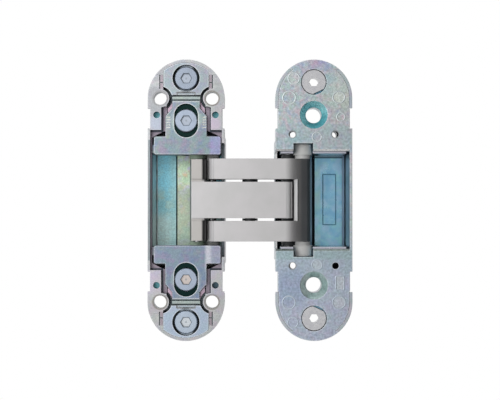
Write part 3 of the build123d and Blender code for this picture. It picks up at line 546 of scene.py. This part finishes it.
# Carrier casting in a deeper blue passivation: dusky clouds, coarse grain and a painted highlight along the
# edges. The passivation pools on the deep floor and turns it blue-green; the rib in front of it is yellower.
# Painted shade blackens the slot round each ear and the groove in the floor and darkens the floor's right
# part, and a painted highlight lies on the bar at each ear's tip.
CAGE_ZINC = PlatedCasting(
    "zinc_die_cast_carrier_blue_passivated", "#838C97", "#79858F",
    (
        FilmOrPaintedLight(DUSKY, 0.45),
        FilmOrPaintedLight("#AEBBB4", 0.5, (0.0, CLAMP_Z), reach=5.3, soft=1.2, depths=FRONT, mirrored=True),
        FilmOrPaintedLight("#E6E4CC", 0.5, across=(5.6, 9.0), heights=(27.5, 33.5), soft=0.05, depths=(0.28, 0.4),
             soft_depth=0.02, mirrored=True),
        FilmOrPaintedLight("#6F7BA0", 0.30, heights=(-42.0, -18.0), depths=FRONT),
        FilmOrPaintedLight("#BFBCCB", 0.25, across=(8.6, 15.0), heights=(-27.0, -16.0), depths=FRONT, soft=1.4),
        FilmOrPaintedLight("#E0DEE4", 0.45, across=(8.3, 9.0), heights=(-27.0, -16.0), depths=FRONT, soft=1.5),
        FilmOrPaintedLight("#A49CD8", 0.40, across=(10.2, 15.0), heights=(17.0, 25.0), depths=FRONT, soft=1.6),
        # Painted shade, nearly black, in the slot round each ear.
        FilmOrPaintedLight("#0E2624", 1.0, across=(0.0, 6.0), heights=(23.0, 38.4), depths=(0.7, 2.7), soft=0.05,
             mirrored=True),
        FilmOrPaintedLight("#12211F", 0.95, depths=(1.75, 2.7), soft_depth=0.03),
        FilmOrPaintedLight("#8E989B", 0.95, heights=(38.5, 39.25), depths=(1.2, 2.0), soft=0.05, soft_depth=0.03,
             mirrored=True),
        FilmOrPaintedLight(("#8CCAD8", "#9AD0D8", "#92CBD4", "#A8CCC8"), 0.95, depths=CAGE_FLOOR),
        FilmOrPaintedLight("#9AE8FF", 0.6, heights=(7.0, 24.0), depths=CAGE_FLOOR, soft=6.0),
        FilmOrPaintedLight("#CBDFD8", 0.65, heights=(-24.0, -9.0), depths=CAGE_FLOOR, soft=6.0),
        # Painted shade on the floor's right part, against the lamp's light.
        FilmOrPaintedLight("#8DB6B8", 0.65, across=(-6.5, -3.0), depths=CAGE_FLOOR, soft=3.5),
        # Painted shade in the groove in the floor.
        FilmOrPaintedLight("#0F1C1E", 1.0, depths=(25.5, 26.3)),
        # Painted highlight on the bar at each ear's tip.
        FilmOrPaintedLight("#A9B5AE", 0.75, heights=(38.9, 41.1), depths=(1.1, 1.65), soft=0.1, soft_depth=0.03,
             mirrored=True),
        FilmOrPaintedLight(("#C9D6AE", "#B9D0BE", "#D9C7A6", "#B4D2B2", "#C6CBDD", "#C3DCC0"), 0.95, depths=CAGE_RIB),
        FilmOrPaintedLight("#9AA294", 0.6, heights=(-24.0, 3.0), depths=CAGE_RIB, soft=5.0),
        FilmOrPaintedLight("#A8CCC0", 0.4, heights=(-22.0, -12.0), depths=CAGE_RIB, soft=3.0, patchy=0.6),
    ),
    grain_size=0.6, grain=0.8, rim=0.58,
)
# Zinc die casting in satin nickel: smooth neutral grey with almost no grain. Bands of painted highlight and
# painted shade lie along the rounded edges and bevels of the arms.
ARM_NICKEL = PlatedCasting(
    "zinc_die_cast_satin_nickel_plated", "#C3C1C2", "#C0BFBF",
    (
        FilmOrPaintedLight("#B3B0AD", 1.0, across=(1.5, 6.5), heights=(7.4, 17.0), soft=0.3, mirrored=True),
        # Painted shade and painted highlights across the bevels and rounded shoulders by the prongs.
        FilmOrPaintedLight("#4F4F4F", 1.0, across=(6.9, 7.8), heights=PRONG, soft=1.2, mirrored=True),
        FilmOrPaintedLight("#FFFFFF", 1.0, across=(8.0, 8.6), heights=PRONG, soft=0.15, mirrored=True),
        FilmOrPaintedLight("#989798", 1.0, across=(9.75, 10.7), heights=PRONG, soft=0.4, mirrored=True),
        # Painted light and a painted highlight on the middle arm's rounded end.
        FilmOrPaintedLight("#E0E0E0", 0.8, across=(39.4, 40.5), heights=MIDDLE_FACE, depths=ARM_FACE, soft=0.15,
             polish=-0.5),
        FilmOrPaintedLight("#BCBBBB", 1.0, across=(40.6, 41.6), heights=MIDDLE_FACE, depths=ARM_FACE, soft=0.15),
        # Painted shade and a painted highlight on the bevel at the fork's slot.
        FilmOrPaintedLight("#9A9A9A", 1.0, across=(42.0, 44.0), heights=MIDDLE_END, depths=ARM_END, soft=0.1),
        FilmOrPaintedLight("#E6E6E6", 1.0, across=(42.4, 43.5), heights=MIDDLE_END, depths=ARM_END, soft=0.15,
             polish=-0.4),
        # Painted shade down the fork's sloping end.
        FilmOrPaintedLight("#A3A6AA", 0.8, across=(45.6, 47.4), depths=ARM_END, soft=1.2),
        FilmOrPaintedLight("#7A848A", 0.95, across=(47.6, 49.5), depths=ARM_END, soft=0.3),
        FilmOrPaintedLight("#39454D", 0.95, across=(48.25, 49.5), depths=ARM_END, soft=0.1),
    ),
    roughness=0.42, mottle_size=9.0, grain_size=0.2, grain=0.03, bump=0.004, edge=0.2,
)
# Zinc die casting in grey passivation: pale blue-grey walls. Painted shade turns them black deep in the
# pocket and in the vents, and painted light lifts the pocket's walls near its top and bottom.
DOOR_ZINC = PlatedCasting(
    "zinc_die_cast_grey_passivated", "#B7BAC0", "#A8B2B8",
    (
        FilmOrPaintedLight(PASTELS, 0.35),
        FilmOrPaintedLight("#727F8A", 0.9, across=(63.8, 64.2), heights=POCKET, depths=(3.1, 10.4), soft=0.1),
        FilmOrPaintedLight("#929DAA", 0.9, across=(63.8, 64.2), heights=POCKET, depths=(10.6, 15.8), soft=0.1),
        # Painted shade, nearly black, deep in the pocket and on its floor.
        FilmOrPaintedLight("#0B151B", 1.0, depths=(16.0, 25.6), soft=0.2),
        FilmOrPaintedLight("#0B151B", 1.0, across=(34.0, 62.0), depths=DOOR_FLOOR, soft=0.2),
        FilmOrPaintedLight("#9CBCD6", 1.0, across=(62.4, 66.0), depths=DOOR_FLOOR, soft=0.1),
        FilmOrPaintedLight("#6F8A9C", 1.0, across=(50.05, 50.6), depths=DOOR_FLOOR, soft=0.1),
        # Painted light on the pocket's walls near its top and bottom.
        FilmOrPaintedLight("#FFFFFF", 1.0, across=(34.0, 37.3), heights=(15.5, 19.6), depths=(3.0, 25.6), soft=0.1,
             mirrored=True),
        # Painted shade, black, in the blind vent and on the walls of the other vents.
        FilmOrPaintedLight("#07090B", 1.0, BLIND_VENT, reach=2.2, soft=0.1, depths=(0.3, 30.0)),
        *(FilmOrPaintedLight("#10171C", 0.95, vent, reach=2.2, soft=0.1, depths=DOOR_VENT) for vent in VENTS),
    ),
    shell=Shell(DOOR_X, 27.2),
)
# Face plate with a thick uneven passivation: patches a few mm wide from lilac through blue to green over a
# speckled grey, paler inside the marks of the mould and teal where the passivation pools in the two sinks.
# A painted highlight runs along the upper lip's bevel and the edges; painted shade darkens the hollows, the
# vents and a ring round each vent; painted light and painted shade make each sink lighter on its left than
# on its right.
PLATE_ZINC = PlatedCasting(
    "zinc_die_cast_face_mottled_passivated", "#BDBFC1", "#AEB8BC",
    (
        FilmOrPaintedLight(("#A29FC4", "#AFC3CC", "#A9BFA8", "#C2C0C4", "#9DB2C8", "#C6AFBC", "#A8C4BE"), 0.6),
        FilmOrPaintedLight("#A7B5C6", 0.6, heights=LOWER_END, soft=12.0),
        FilmOrPaintedLight("#B2AECB", 0.45, heights=LOWER_END, soft=8.0, patchy=0.8),
        FilmOrPaintedLight("#C3B3B6", 0.40, (58.0, 30.0), reach=5.0, soft=8.0, patchy=0.7),
        FilmOrPaintedLight("#B0C4AC", 0.50, (60.0, 42.0), reach=3.0, soft=6.0, patchy=0.7),
        FilmOrPaintedLight("#8FB4C4", 0.60, (57.0, 47.0), reach=3.0, soft=5.0, patchy=0.6),
        FilmOrPaintedLight("#9A93D0", 0.60, (53.0, 53.0), reach=2.0, soft=3.5, patchy=1.0),
        FilmOrPaintedLight("#C79CB6", 0.60, (50.0, 53.5), reach=1.0, soft=2.5, patchy=1.2),
        FilmOrPaintedLight("#9FB0D6", 0.50, (45.0, 51.0), reach=2.0, soft=3.0, patchy=1.0),
        FilmOrPaintedLight("#88B8BE", 0.50, (44.0, 20.5), reach=3.0, soft=4.0, patchy=1.0),
        # Painted highlight along the upper lip's bevel.
        FilmOrPaintedLight("#FFFFFF", 1.0, heights=(19.1, 19.95), depths=PLATE_LIP, soft=0.1, soft_depth=0.03,
             polish=0.22),
        FilmOrPaintedLight("#A4B2AC", 0.9, heights=(-19.95, -19.1), depths=PLATE_LIP, soft=0.1, soft_depth=0.03),
        FilmOrPaintedLight("#8FB0A6", 0.5, heights=(-22.5, -20.2), soft=1.2, depths=FACE),
        FilmOrPaintedLight("#9DB0B8", 0.40, heights=(20.2, 27.0), soft=4.0, depths=FACE, mirrored=True),
        FilmOrPaintedLight("#D2D6CE", 0.40, (61.0, 44.0), reach=3.0, soft=6.0, depths=FACE),
        FilmOrPaintedLight("#D2D8CF", 0.35, (42.2, 47.6), reach=1.7, soft=0.5, depths=FACE),
        FilmOrPaintedLight("#D8DCD4", 0.40, (59.8, 40.2), reach=1.9, soft=0.5, depths=FACE),
        FilmOrPaintedLight("#CDD6D6", 0.35, (51.2, -25.3), reach=1.6, soft=0.5, depths=FACE),
        FilmOrPaintedLight("#D0D8D6", 0.35, (59.8, -40.0), reach=2.1, soft=0.6, depths=FACE),
        FilmOrPaintedLight("#CBD3CC", 0.35, across=(58.8, 61.6), heights=(-35.0, -29.9), soft=0.2, depths=FACE),
        FilmOrPaintedLight("#8598B4", 0.50, (41.0, -34.0), reach=4.0, soft=6.0, depths=FACE),
        # Painted shade in the hollows below the face, and in and round the vents.
        FilmOrPaintedLight("#2F3A3E", 0.8, depths=(0.9, 3.2), soft=0.2),
        FilmOrPaintedLight("#07090B", 1.0, BLIND_VENT, reach=2.2, soft=0.1, depths=PLATE_WALL),
        *(FilmOrPaintedLight("#3C444A", 0.8, vent, reach=1.45, soft=0.3, depths=FACE) for vent in VENTS),
        *(FilmOrPaintedLight("#10171C", 0.9, vent, reach=2.2, soft=0.1, depths=PLATE_WALL) for vent in VENTS),
        FilmOrPaintedLight(("#92CBD0", "#86C3CA", "#9CD0D4"), 0.97, (DOOR_X, SINK_Z), reach=5.6, soft=0.2,
             depths=PLATE_SINK),
        FilmOrPaintedLight(("#B4C8C6", "#A8BEBC", "#BCCECC"), 0.95, (DOOR_X, -SINK_Z), reach=5.6, soft=0.2,
             depths=PLATE_SINK),
        # Painted light on the left of each sink and painted shade on its right.
        FilmOrPaintedLight("#D0F8FC", 0.95, (45.4, 33.6), reach=2.0, soft=3.0, depths=PLATE_SINK),
        FilmOrPaintedLight("#4FA0AC", 0.7, (52.6, 29.6), reach=3.0, soft=3.2, depths=PLATE_SINK),
        FilmOrPaintedLight("#FFFFFF", 1.0, (45.4, -SINK_Z), reach=2.4, soft=3.0, depths=PLATE_SINK),
        FilmOrPaintedLight("#7A9694", 0.75, (54.6, -34.0), reach=1.5, soft=3.2, depths=PLATE_SINK),
    ),
    mottle_size=2.2, shimmer_size=3.2, grain_size=0.9, grain=1.1, bump=0.02, edge=0.25, rim=0.35,
    shell=Shell(DOOR_X, 9.0, pads=2.8),
)
# Carrier of the door leaf under the thickest blue passivation: a clear sky blue that drifts to green.
DOOR_CAGE_BLUE = PlatedCasting(
    "zinc_die_cast_thick_blue_passivated", "#85B5C9", "#78A9C2",
    (
        FilmOrPaintedLight(("#6A9BC0", "#8CC0C6", "#92C4C0", "#79ABC9", "#9BB6CE"), 0.5),
        FilmOrPaintedLight("#9DBFB4", 0.5, across=(51.0, 53.5), soft=1.0, depths=(20.0, 25.0), patchy=0.8),
        FilmOrPaintedLight("#3E6A80", 0.8, depths=(22.0, 22.8), soft=0.1),
        FilmOrPaintedLight("#C9C6D0", 0.9, depths=(3.0, 3.4), soft_depth=0.05),
        FilmOrPaintedLight("#CCD2D6", 0.95, heights=(18.2, 18.6), depths=(3.5, 21.0), soft=0.05, mirrored=True),
        FilmOrPaintedLight("#7C95A2", 0.90, heights=(18.12, 18.5), depths=STRAP, soft=0.04),
        FilmOrPaintedLight("#22313B", 0.85, heights=(17.5, 18.08), depths=STRAP, soft=0.08),
    ),
    roughness=0.30, mottle_size=3.0, grain=0.16,
)
# Low marks of the mould on the plate, rubbed a little paler than the plate round them.
MARK_ZINC = PlatedCasting(
    "zinc_die_cast_face_raised_marks", "#C3CBCC", "#BAC3C6",
    (
        FilmOrPaintedLight("#A9B6C8", 0.6, heights=LOWER_END, soft=8.0),
    ),
    mottle_size=2.2, grain=0.2,
)
# Turned steel, zinc plated: bright, neutral and smooth.
ECCENTRIC_STEEL = PlatedCasting(
    "steel_turned_zinc_plated", "#C6C6C8", "#BDBDC1",
    roughness=0.30, mottle_size=1.5, grain=0.08,
)
# Ground bare steel: darker than the plated steel, with sharper reflections.
PIN_STEEL = PlatedCasting(
    "steel_ground_bright", "#B4B4B6", "#AAAAAD",
    roughness=0.25, mottle_size=3.0, grain=0.04,
)
# Acetal as moulded: matt and even, without the clouds of the metal. The door rollers and spacers are pale,
# the frame rollers pale green, the washers in the slits nearly black and the sleeves dark grey.
PALE_PLASTIC = MouldedPlastic("acetal_moulded_grey", "#F0F0EE")
GREEN_PLASTIC = MouldedPlastic("acetal_moulded_pale_green", "#B4CAB4")
BLACK_PLASTIC = MouldedPlastic("acetal_moulded_black", "#26282A")
DARK_PLASTIC = MouldedPlastic("acetal_moulded_dark", "#4A4C4E")
# Screws by name: height of the axis in mm, colour of the head, of its clouds and of the socket's floor.
SCREWS = {
    "upper_clamp": (CLAMP_Z, "#A2ADBE", "#9CA7B7", "#A6AEBA"),
    "lower_clamp": (-CLAMP_Z, "#A2ADBE", "#9CA7B7", "#C8BCB4"),
    "upper_depth": (DEPTH_Z, "#97A1B1", "#929CAA", "#A6AEBA"),
    "lower_depth": (-DEPTH_Z, "#AEBAC9", "#A8B4C2", "#CBD0D4"),
}


def screw_finish(name: str, z: float, base: str, mottle: str, floor: str) -> PlatedCasting:
    """Forged steel in blue zinc: a smooth bluish head, and a socket with painted shade on its walls and a
    bright floor.

    Args:
        name: name of the screw.
        z: height of its axis in mm.
        base: hex colour of the head.
        mottle: hex colour of the clouds on it.
        floor: hex colour of the floor of its socket.

    Returns:
        The finish of that one screw.
    """
    axis = (0.0, z)
    films_and_painted_light = (
        # Painted shade on the walls of the hexagon socket.
        FilmOrPaintedLight("#4E565E", 0.85, axis, reach=1.95, soft=0.15, depths=SOCKET_WALL, soft_depth=0.03,
             six_sided=True),
        FilmOrPaintedLight(floor, 0.85, axis, reach=2.3, soft=0.2, depths=SOCKET_FLOOR, soft_depth=0.03),
        # Painted shade at the point in the middle of the socket's floor.
        FilmOrPaintedLight("#7F868C", 0.6, axis, reach=0.25, soft=0.3, depths=SOCKET_FLOOR, soft_depth=0.03),
    )
    return PlatedCasting(
        f"steel_forged_blue_zinc_plated_{name}", base, mottle, films_and_painted_light,
        roughness=0.32, mottle_size=2.5, grain=0.07,
    )


def surface_mesh(name: str, points: np.ndarray) -> bpy.types.Object:
    """Object made of one or more grids of points, whose last column joins the first.

    Args:
        name: name of the object.
        points: array of grids x rows x columns x 3, in mm.

    Returns:
        The object, linked to the scene.
    """
    grids, rows, columns, _ = points.shape
    index = np.arange(grids * rows * columns).reshape(grids, rows, columns)
    beside = np.roll(index, -1, axis=2)
    quads = np.stack([index[:, :-1], beside[:, :-1], beside[:, 1:], index[:, 1:]], axis=-1).reshape(-1, 4)
    mesh = bpy.data.meshes.new(name)
    mesh.from_pydata((points.reshape(-1, 3) * MM).tolist(), [], quads.tolist())
    mesh.polygons.foreach_set("use_smooth", np.ones(len(mesh.polygons), dtype=bool))
    mesh.update()
    piece = bpy.data.objects.new(name, mesh)
    bpy.context.scene.collection.objects.link(piece)
    return piece


class Rider(Enum):
    """Bodies that carry the extra pieces."""

    DOOR_LEAF = "door_leaf"


def attach(piece: bpy.types.Object, finish: bpy.types.Material, rider: Rider) -> None:
    """Dresses a new piece and lets it ride on its body.

    Args:
        piece: the new object.
        finish: its material.
        rider: the body that carries it.
    """
    piece.data.materials.append(finish)
    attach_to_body(piece, rider.value)
    LOG.info("%s rides on %s", piece.name, rider.value)


@dataclass
class EjectorMarks:
    """Low rings that the mould's ejector pins leave on the face plate, in mm."""

    spots: tuple[tuple[float, float, float], ...] = (
        (42.2, 47.6, 2.2), (40.4, 40.0, 2.5), (59.8, 40.2, 2.3), (60.6, 32.5, 1.6), (51.2, 24.7, 1.8),
        (51.2, -25.3, 2.0), (40.2, -40.0, 2.5), (59.8, -40.0, 2.5), (41.8, -47.8, 2.0),
    )
    width: float = 0.7
    rise: float = 0.05
    foot: float = 0.01
    around: int = 72
    across: int = 11

    def rings(self) -> np.ndarray:
        """Points of every ring.

        A point lies at radius r + w(v - 1/2) and angle 2 pi u about its spot. It stands proud of the plate
        by rise sin^2(pi v) - foot, so each ring is a smooth ridge that sinks into the face on both sides.

        Returns:
            Array of spots x across x around x 3.
        """
        spot = np.array(self.spots)[:, None, None, :]
        v = np.linspace(0, 1, self.across)[None, :, None]
        turn = np.linspace(0, 2 * np.pi, self.around, endpoint=False)[None, None, :]
        reach = spot[..., 2] + self.width * (v - 0.5)
        x = spot[..., 0] + reach * np.cos(turn)
        z = spot[..., 1] + reach * np.sin(turn)
        y = self.foot - self.rise * np.sin(np.pi * v) ** 2 + 0 * x
        return np.stack(np.broadcast_arrays(x, y, z), axis=-1)

    def build(self, finish: bpy.types.Material) -> None:
        """Adds the rings to the door leaf."""
        attach(surface_mesh("ejector_marks", self.rings()), finish, Rider.DOOR_LEAF)


@dataclass
class DateFrame:
    """Small raised rectangle on the face plate, bare inside, in mm."""

    centre: tuple[float, float] = (60.2, -32.4)
    width: float = 3.2
    height: float = 5.4
    line: float = 0.55
    rise: float = 0.08
    foot: float = 0.01
    power: float = 0.18
    around: int = 96
    across: int = 9

    def ridge(self) -> np.ndarray:
        """Points of the ridge.

        The path is the superellipse x = a cos^p(2 pi u), z = b sin^p(2 pi u), each power taken of the size
        and given its sign back. With a small p it is nearly the rectangle. The profile across it is
        rise sin^2(pi v) - foot.

        Returns:
            Array of 1 x across x around x 3.
        """
        v = np.linspace(0, 1, self.across)[:, None]
        turn = np.linspace(0, 2 * np.pi, self.around, endpoint=False)[None, :]
        half_x = self.width / 2 + self.line * (v - 0.5)
        half_z = self.height / 2 + self.line * (v - 0.5)
        c, s = np.cos(turn), np.sin(turn)
        x = self.centre[0] + half_x * np.sign(c) * np.abs(c) ** self.power
        z = self.centre[1] + half_z * np.sign(s) * np.abs(s) ** self.power
        y = self.foot - self.rise * np.sin(np.pi * v) ** 2 + 0 * x
        return np.stack([x, y, z], axis=-1)[None]

    def build(self, finish: bpy.types.Material) -> None:
        """Adds the ridge to the door leaf."""
        attach(surface_mesh("date_frame", self.ridge()), finish, Rider.DOOR_LEAF)


class CadFinishes:
    """Materials of the CAD nodes, by node name."""

    def __init__(self) -> None:
        """Builds every finish once."""
        by_finish = {
            FRAME_ZINC: ["frame_housing"],
            HOOK_ZINC: ["upper_hook_block", "lower_hook_block"],
            CAGE_ZINC: ["frame_cage"],
            ARM_NICKEL: ["fork_arm", "middle_arm"],
            DOOR_ZINC: ["door_housing"],
            PLATE_ZINC: ["door_face_plate"],
            DOOR_CAGE_BLUE: ["door_cage"],
            ECCENTRIC_STEEL: ["upper_eccentric", "lower_eccentric"],
            PIN_STEEL: [
                "frame_pivot_pin", "door_pivot_pin", "cross_pin", "frame_slide_pin", "door_slide_pin",
            ],
            PALE_PLASTIC: [
                "upper_door_roller", "upper_frame_spacer", "lower_door_roller", "lower_frame_spacer",
            ],
            GREEN_PLASTIC: ["upper_frame_roller", "lower_frame_roller"],
            BLACK_PLASTIC: ["upper_cross_washer", "lower_cross_washer"],
            DARK_PLASTIC: ["upper_door_sleeve", "lower_door_sleeve"],
        }
        for name, values in SCREWS.items():
            by_finish[screw_finish(name, *values)] = [f"{name}_screw"]
        self.materials: dict[str, bpy.types.Material] = {}
        for finish, nodes in by_finish.items():
            material = finish.build()
            self.materials.update({node: material for node in nodes})

    def dress(self, nodes: dict[str, bpy.types.Object]) -> None:
        """Puts each node's material in its slots.

        Args:
            nodes: name to object of the CAD nodes.
        """
        for name, node in nodes.items():
            for slot in node.material_slots:
                slot.material = self.materials[name]
            LOG.info("%s is %s", name, self.materials[name].name)


@dataclass
class Studio:
    """White background, one soft lamp, a dark card on the right and the camera, in metres."""

    middle: tuple[float, float, float] = (0.025, 0.0, 0.0)
    distance: float = 0.430
    camera_low: float = 0.006
    field: float = 0.19535
    sensor: float = 36.0
    floor_z: float = -0.2
    floor_size: float = 0.5
    card_x: float = 0.26
    card_front: float = -0.9
    card_back: float = 0.3
    card_half: float = 0.4
    card_roughness: float = 0.9
    ambient: float = 0.75
    key_place: tuple[float, float, float] = (-0.25, -0.5, 0.12)
    key_size: float = 0.35
    key_power: float = 0.8

    def world(self) -> None:
        """White for the camera, mirrors and glass; a soft grey for diffuse light."""
        graph = Graph(bpy.data.worlds.new("studio_world"))
        bpy.context.scene.world = graph.owner
        path = graph.add("LightPath").outputs
        seen: Feed = 0.0
        for ray in ("Is Camera Ray", "Is Glossy Ray", "Is Transmission Ray"):
            seen = graph.add("Math", seen, path[ray], operation="MAXIMUM")
        soft, white = (graph.add("Background", linear("#FFFFFF"), level) for level in (self.ambient, 1.0))
        graph.add("OutputWorld", graph.add("MixShader", seen, soft, white))

    def plane(self, name: str, corners: list[tuple[float, float, float]], colour: str) -> bpy.types.Object:
        """Flat card of the stage.

        Args:
            name: name of the card.
            corners: its four corners in metres.
            colour: its hex colour.

        Returns:
            The card.
        """
        mesh = bpy.data.meshes.new(name)
        mesh.from_pydata(corners, [], [(0, 1, 2, 3)])
        card = bpy.data.objects.new(name, mesh)
        bpy.context.scene.collection.objects.link(card)
        graph = Graph(bpy.data.materials.new(name))
        mesh.materials.append(graph.finish({"Base Color": linear(colour), "Roughness": self.card_roughness}))
        return card

    def cards(self) -> None:
        """Pale floor below the picture and a dark card to the right, which only reflections see."""
        x, h, z = self.middle[0], self.floor_size / 2, self.floor_z
        self.plane("floor", [(x - h, -h, z), (x + h, -h, z), (x + h, h, z), (x - h, h, z)], "#F4F4F4")
        c, near, far, h = self.card_x, self.card_front, self.card_back, self.card_half
        corners = [(c, near, -h), (c, far, -h), (c, far, h), (c, near, h)]
        card = self.plane("dark_card", corners, "#101214")
        card.visible_camera = False
        card.visible_shadow = False

    def lamp(self, name: str, place: tuple[float, float, float], size: float, power: float) -> None:
        """Square soft lamp aimed at the hinge.

        Args:
            name: name of the lamp.
            place: where it stands, in metres.
            size: length of its side in metres.
            power: power in watts.
        """
        data = bpy.data.lights.new(name, "AREA")
        data.size = size
        data.energy = power
        lamp = bpy.data.objects.new(name, data)
        lamp.location = place
        aim = Vector(self.middle) - Vector(place)
        lamp.rotation_euler = aim.to_track_quat("-Z", "Y").to_euler()
        bpy.context.scene.collection.objects.link(lamp)

    def camera(self) -> None:
        """Camera in front of the leaves, a little below their middle."""
        data = bpy.data.cameras.new("camera")
        data.sensor_width = self.sensor
        data.lens = self.sensor * self.distance / self.field
        data.clip_start = 0.01
        camera = bpy.data.objects.new("camera", data)
        camera.location = (self.middle[0], -self.distance, -self.camera_low)
        aim = Vector(self.middle) - camera.location
        camera.rotation_euler = aim.to_track_quat("-Z", "Y").to_euler()
        bpy.context.scene.collection.objects.link(camera)
        bpy.context.scene.camera = camera

    def build(self) -> None:
        """Sets up everything round the object."""
        bpy.context.scene.view_settings.view_transform = "Standard"
        self.world()
        self.cards()
        self.lamp("key", self.key_place, self.key_size, self.key_power)
        self.camera()


def main() -> None:
    """Dresses the CAD nodes, adds the surface marks and sets up the studio."""
    logging.basicConfig(level=logging.INFO, format="%(name)s: %(message)s")
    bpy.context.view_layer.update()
    finishes = CadFinishes()
    finishes.dress(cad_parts)
    marks = MARK_ZINC.build()
    EjectorMarks().build(marks)
    DateFrame().build(marks)
    Studio().build()


if __name__ == "__main__":
    main()
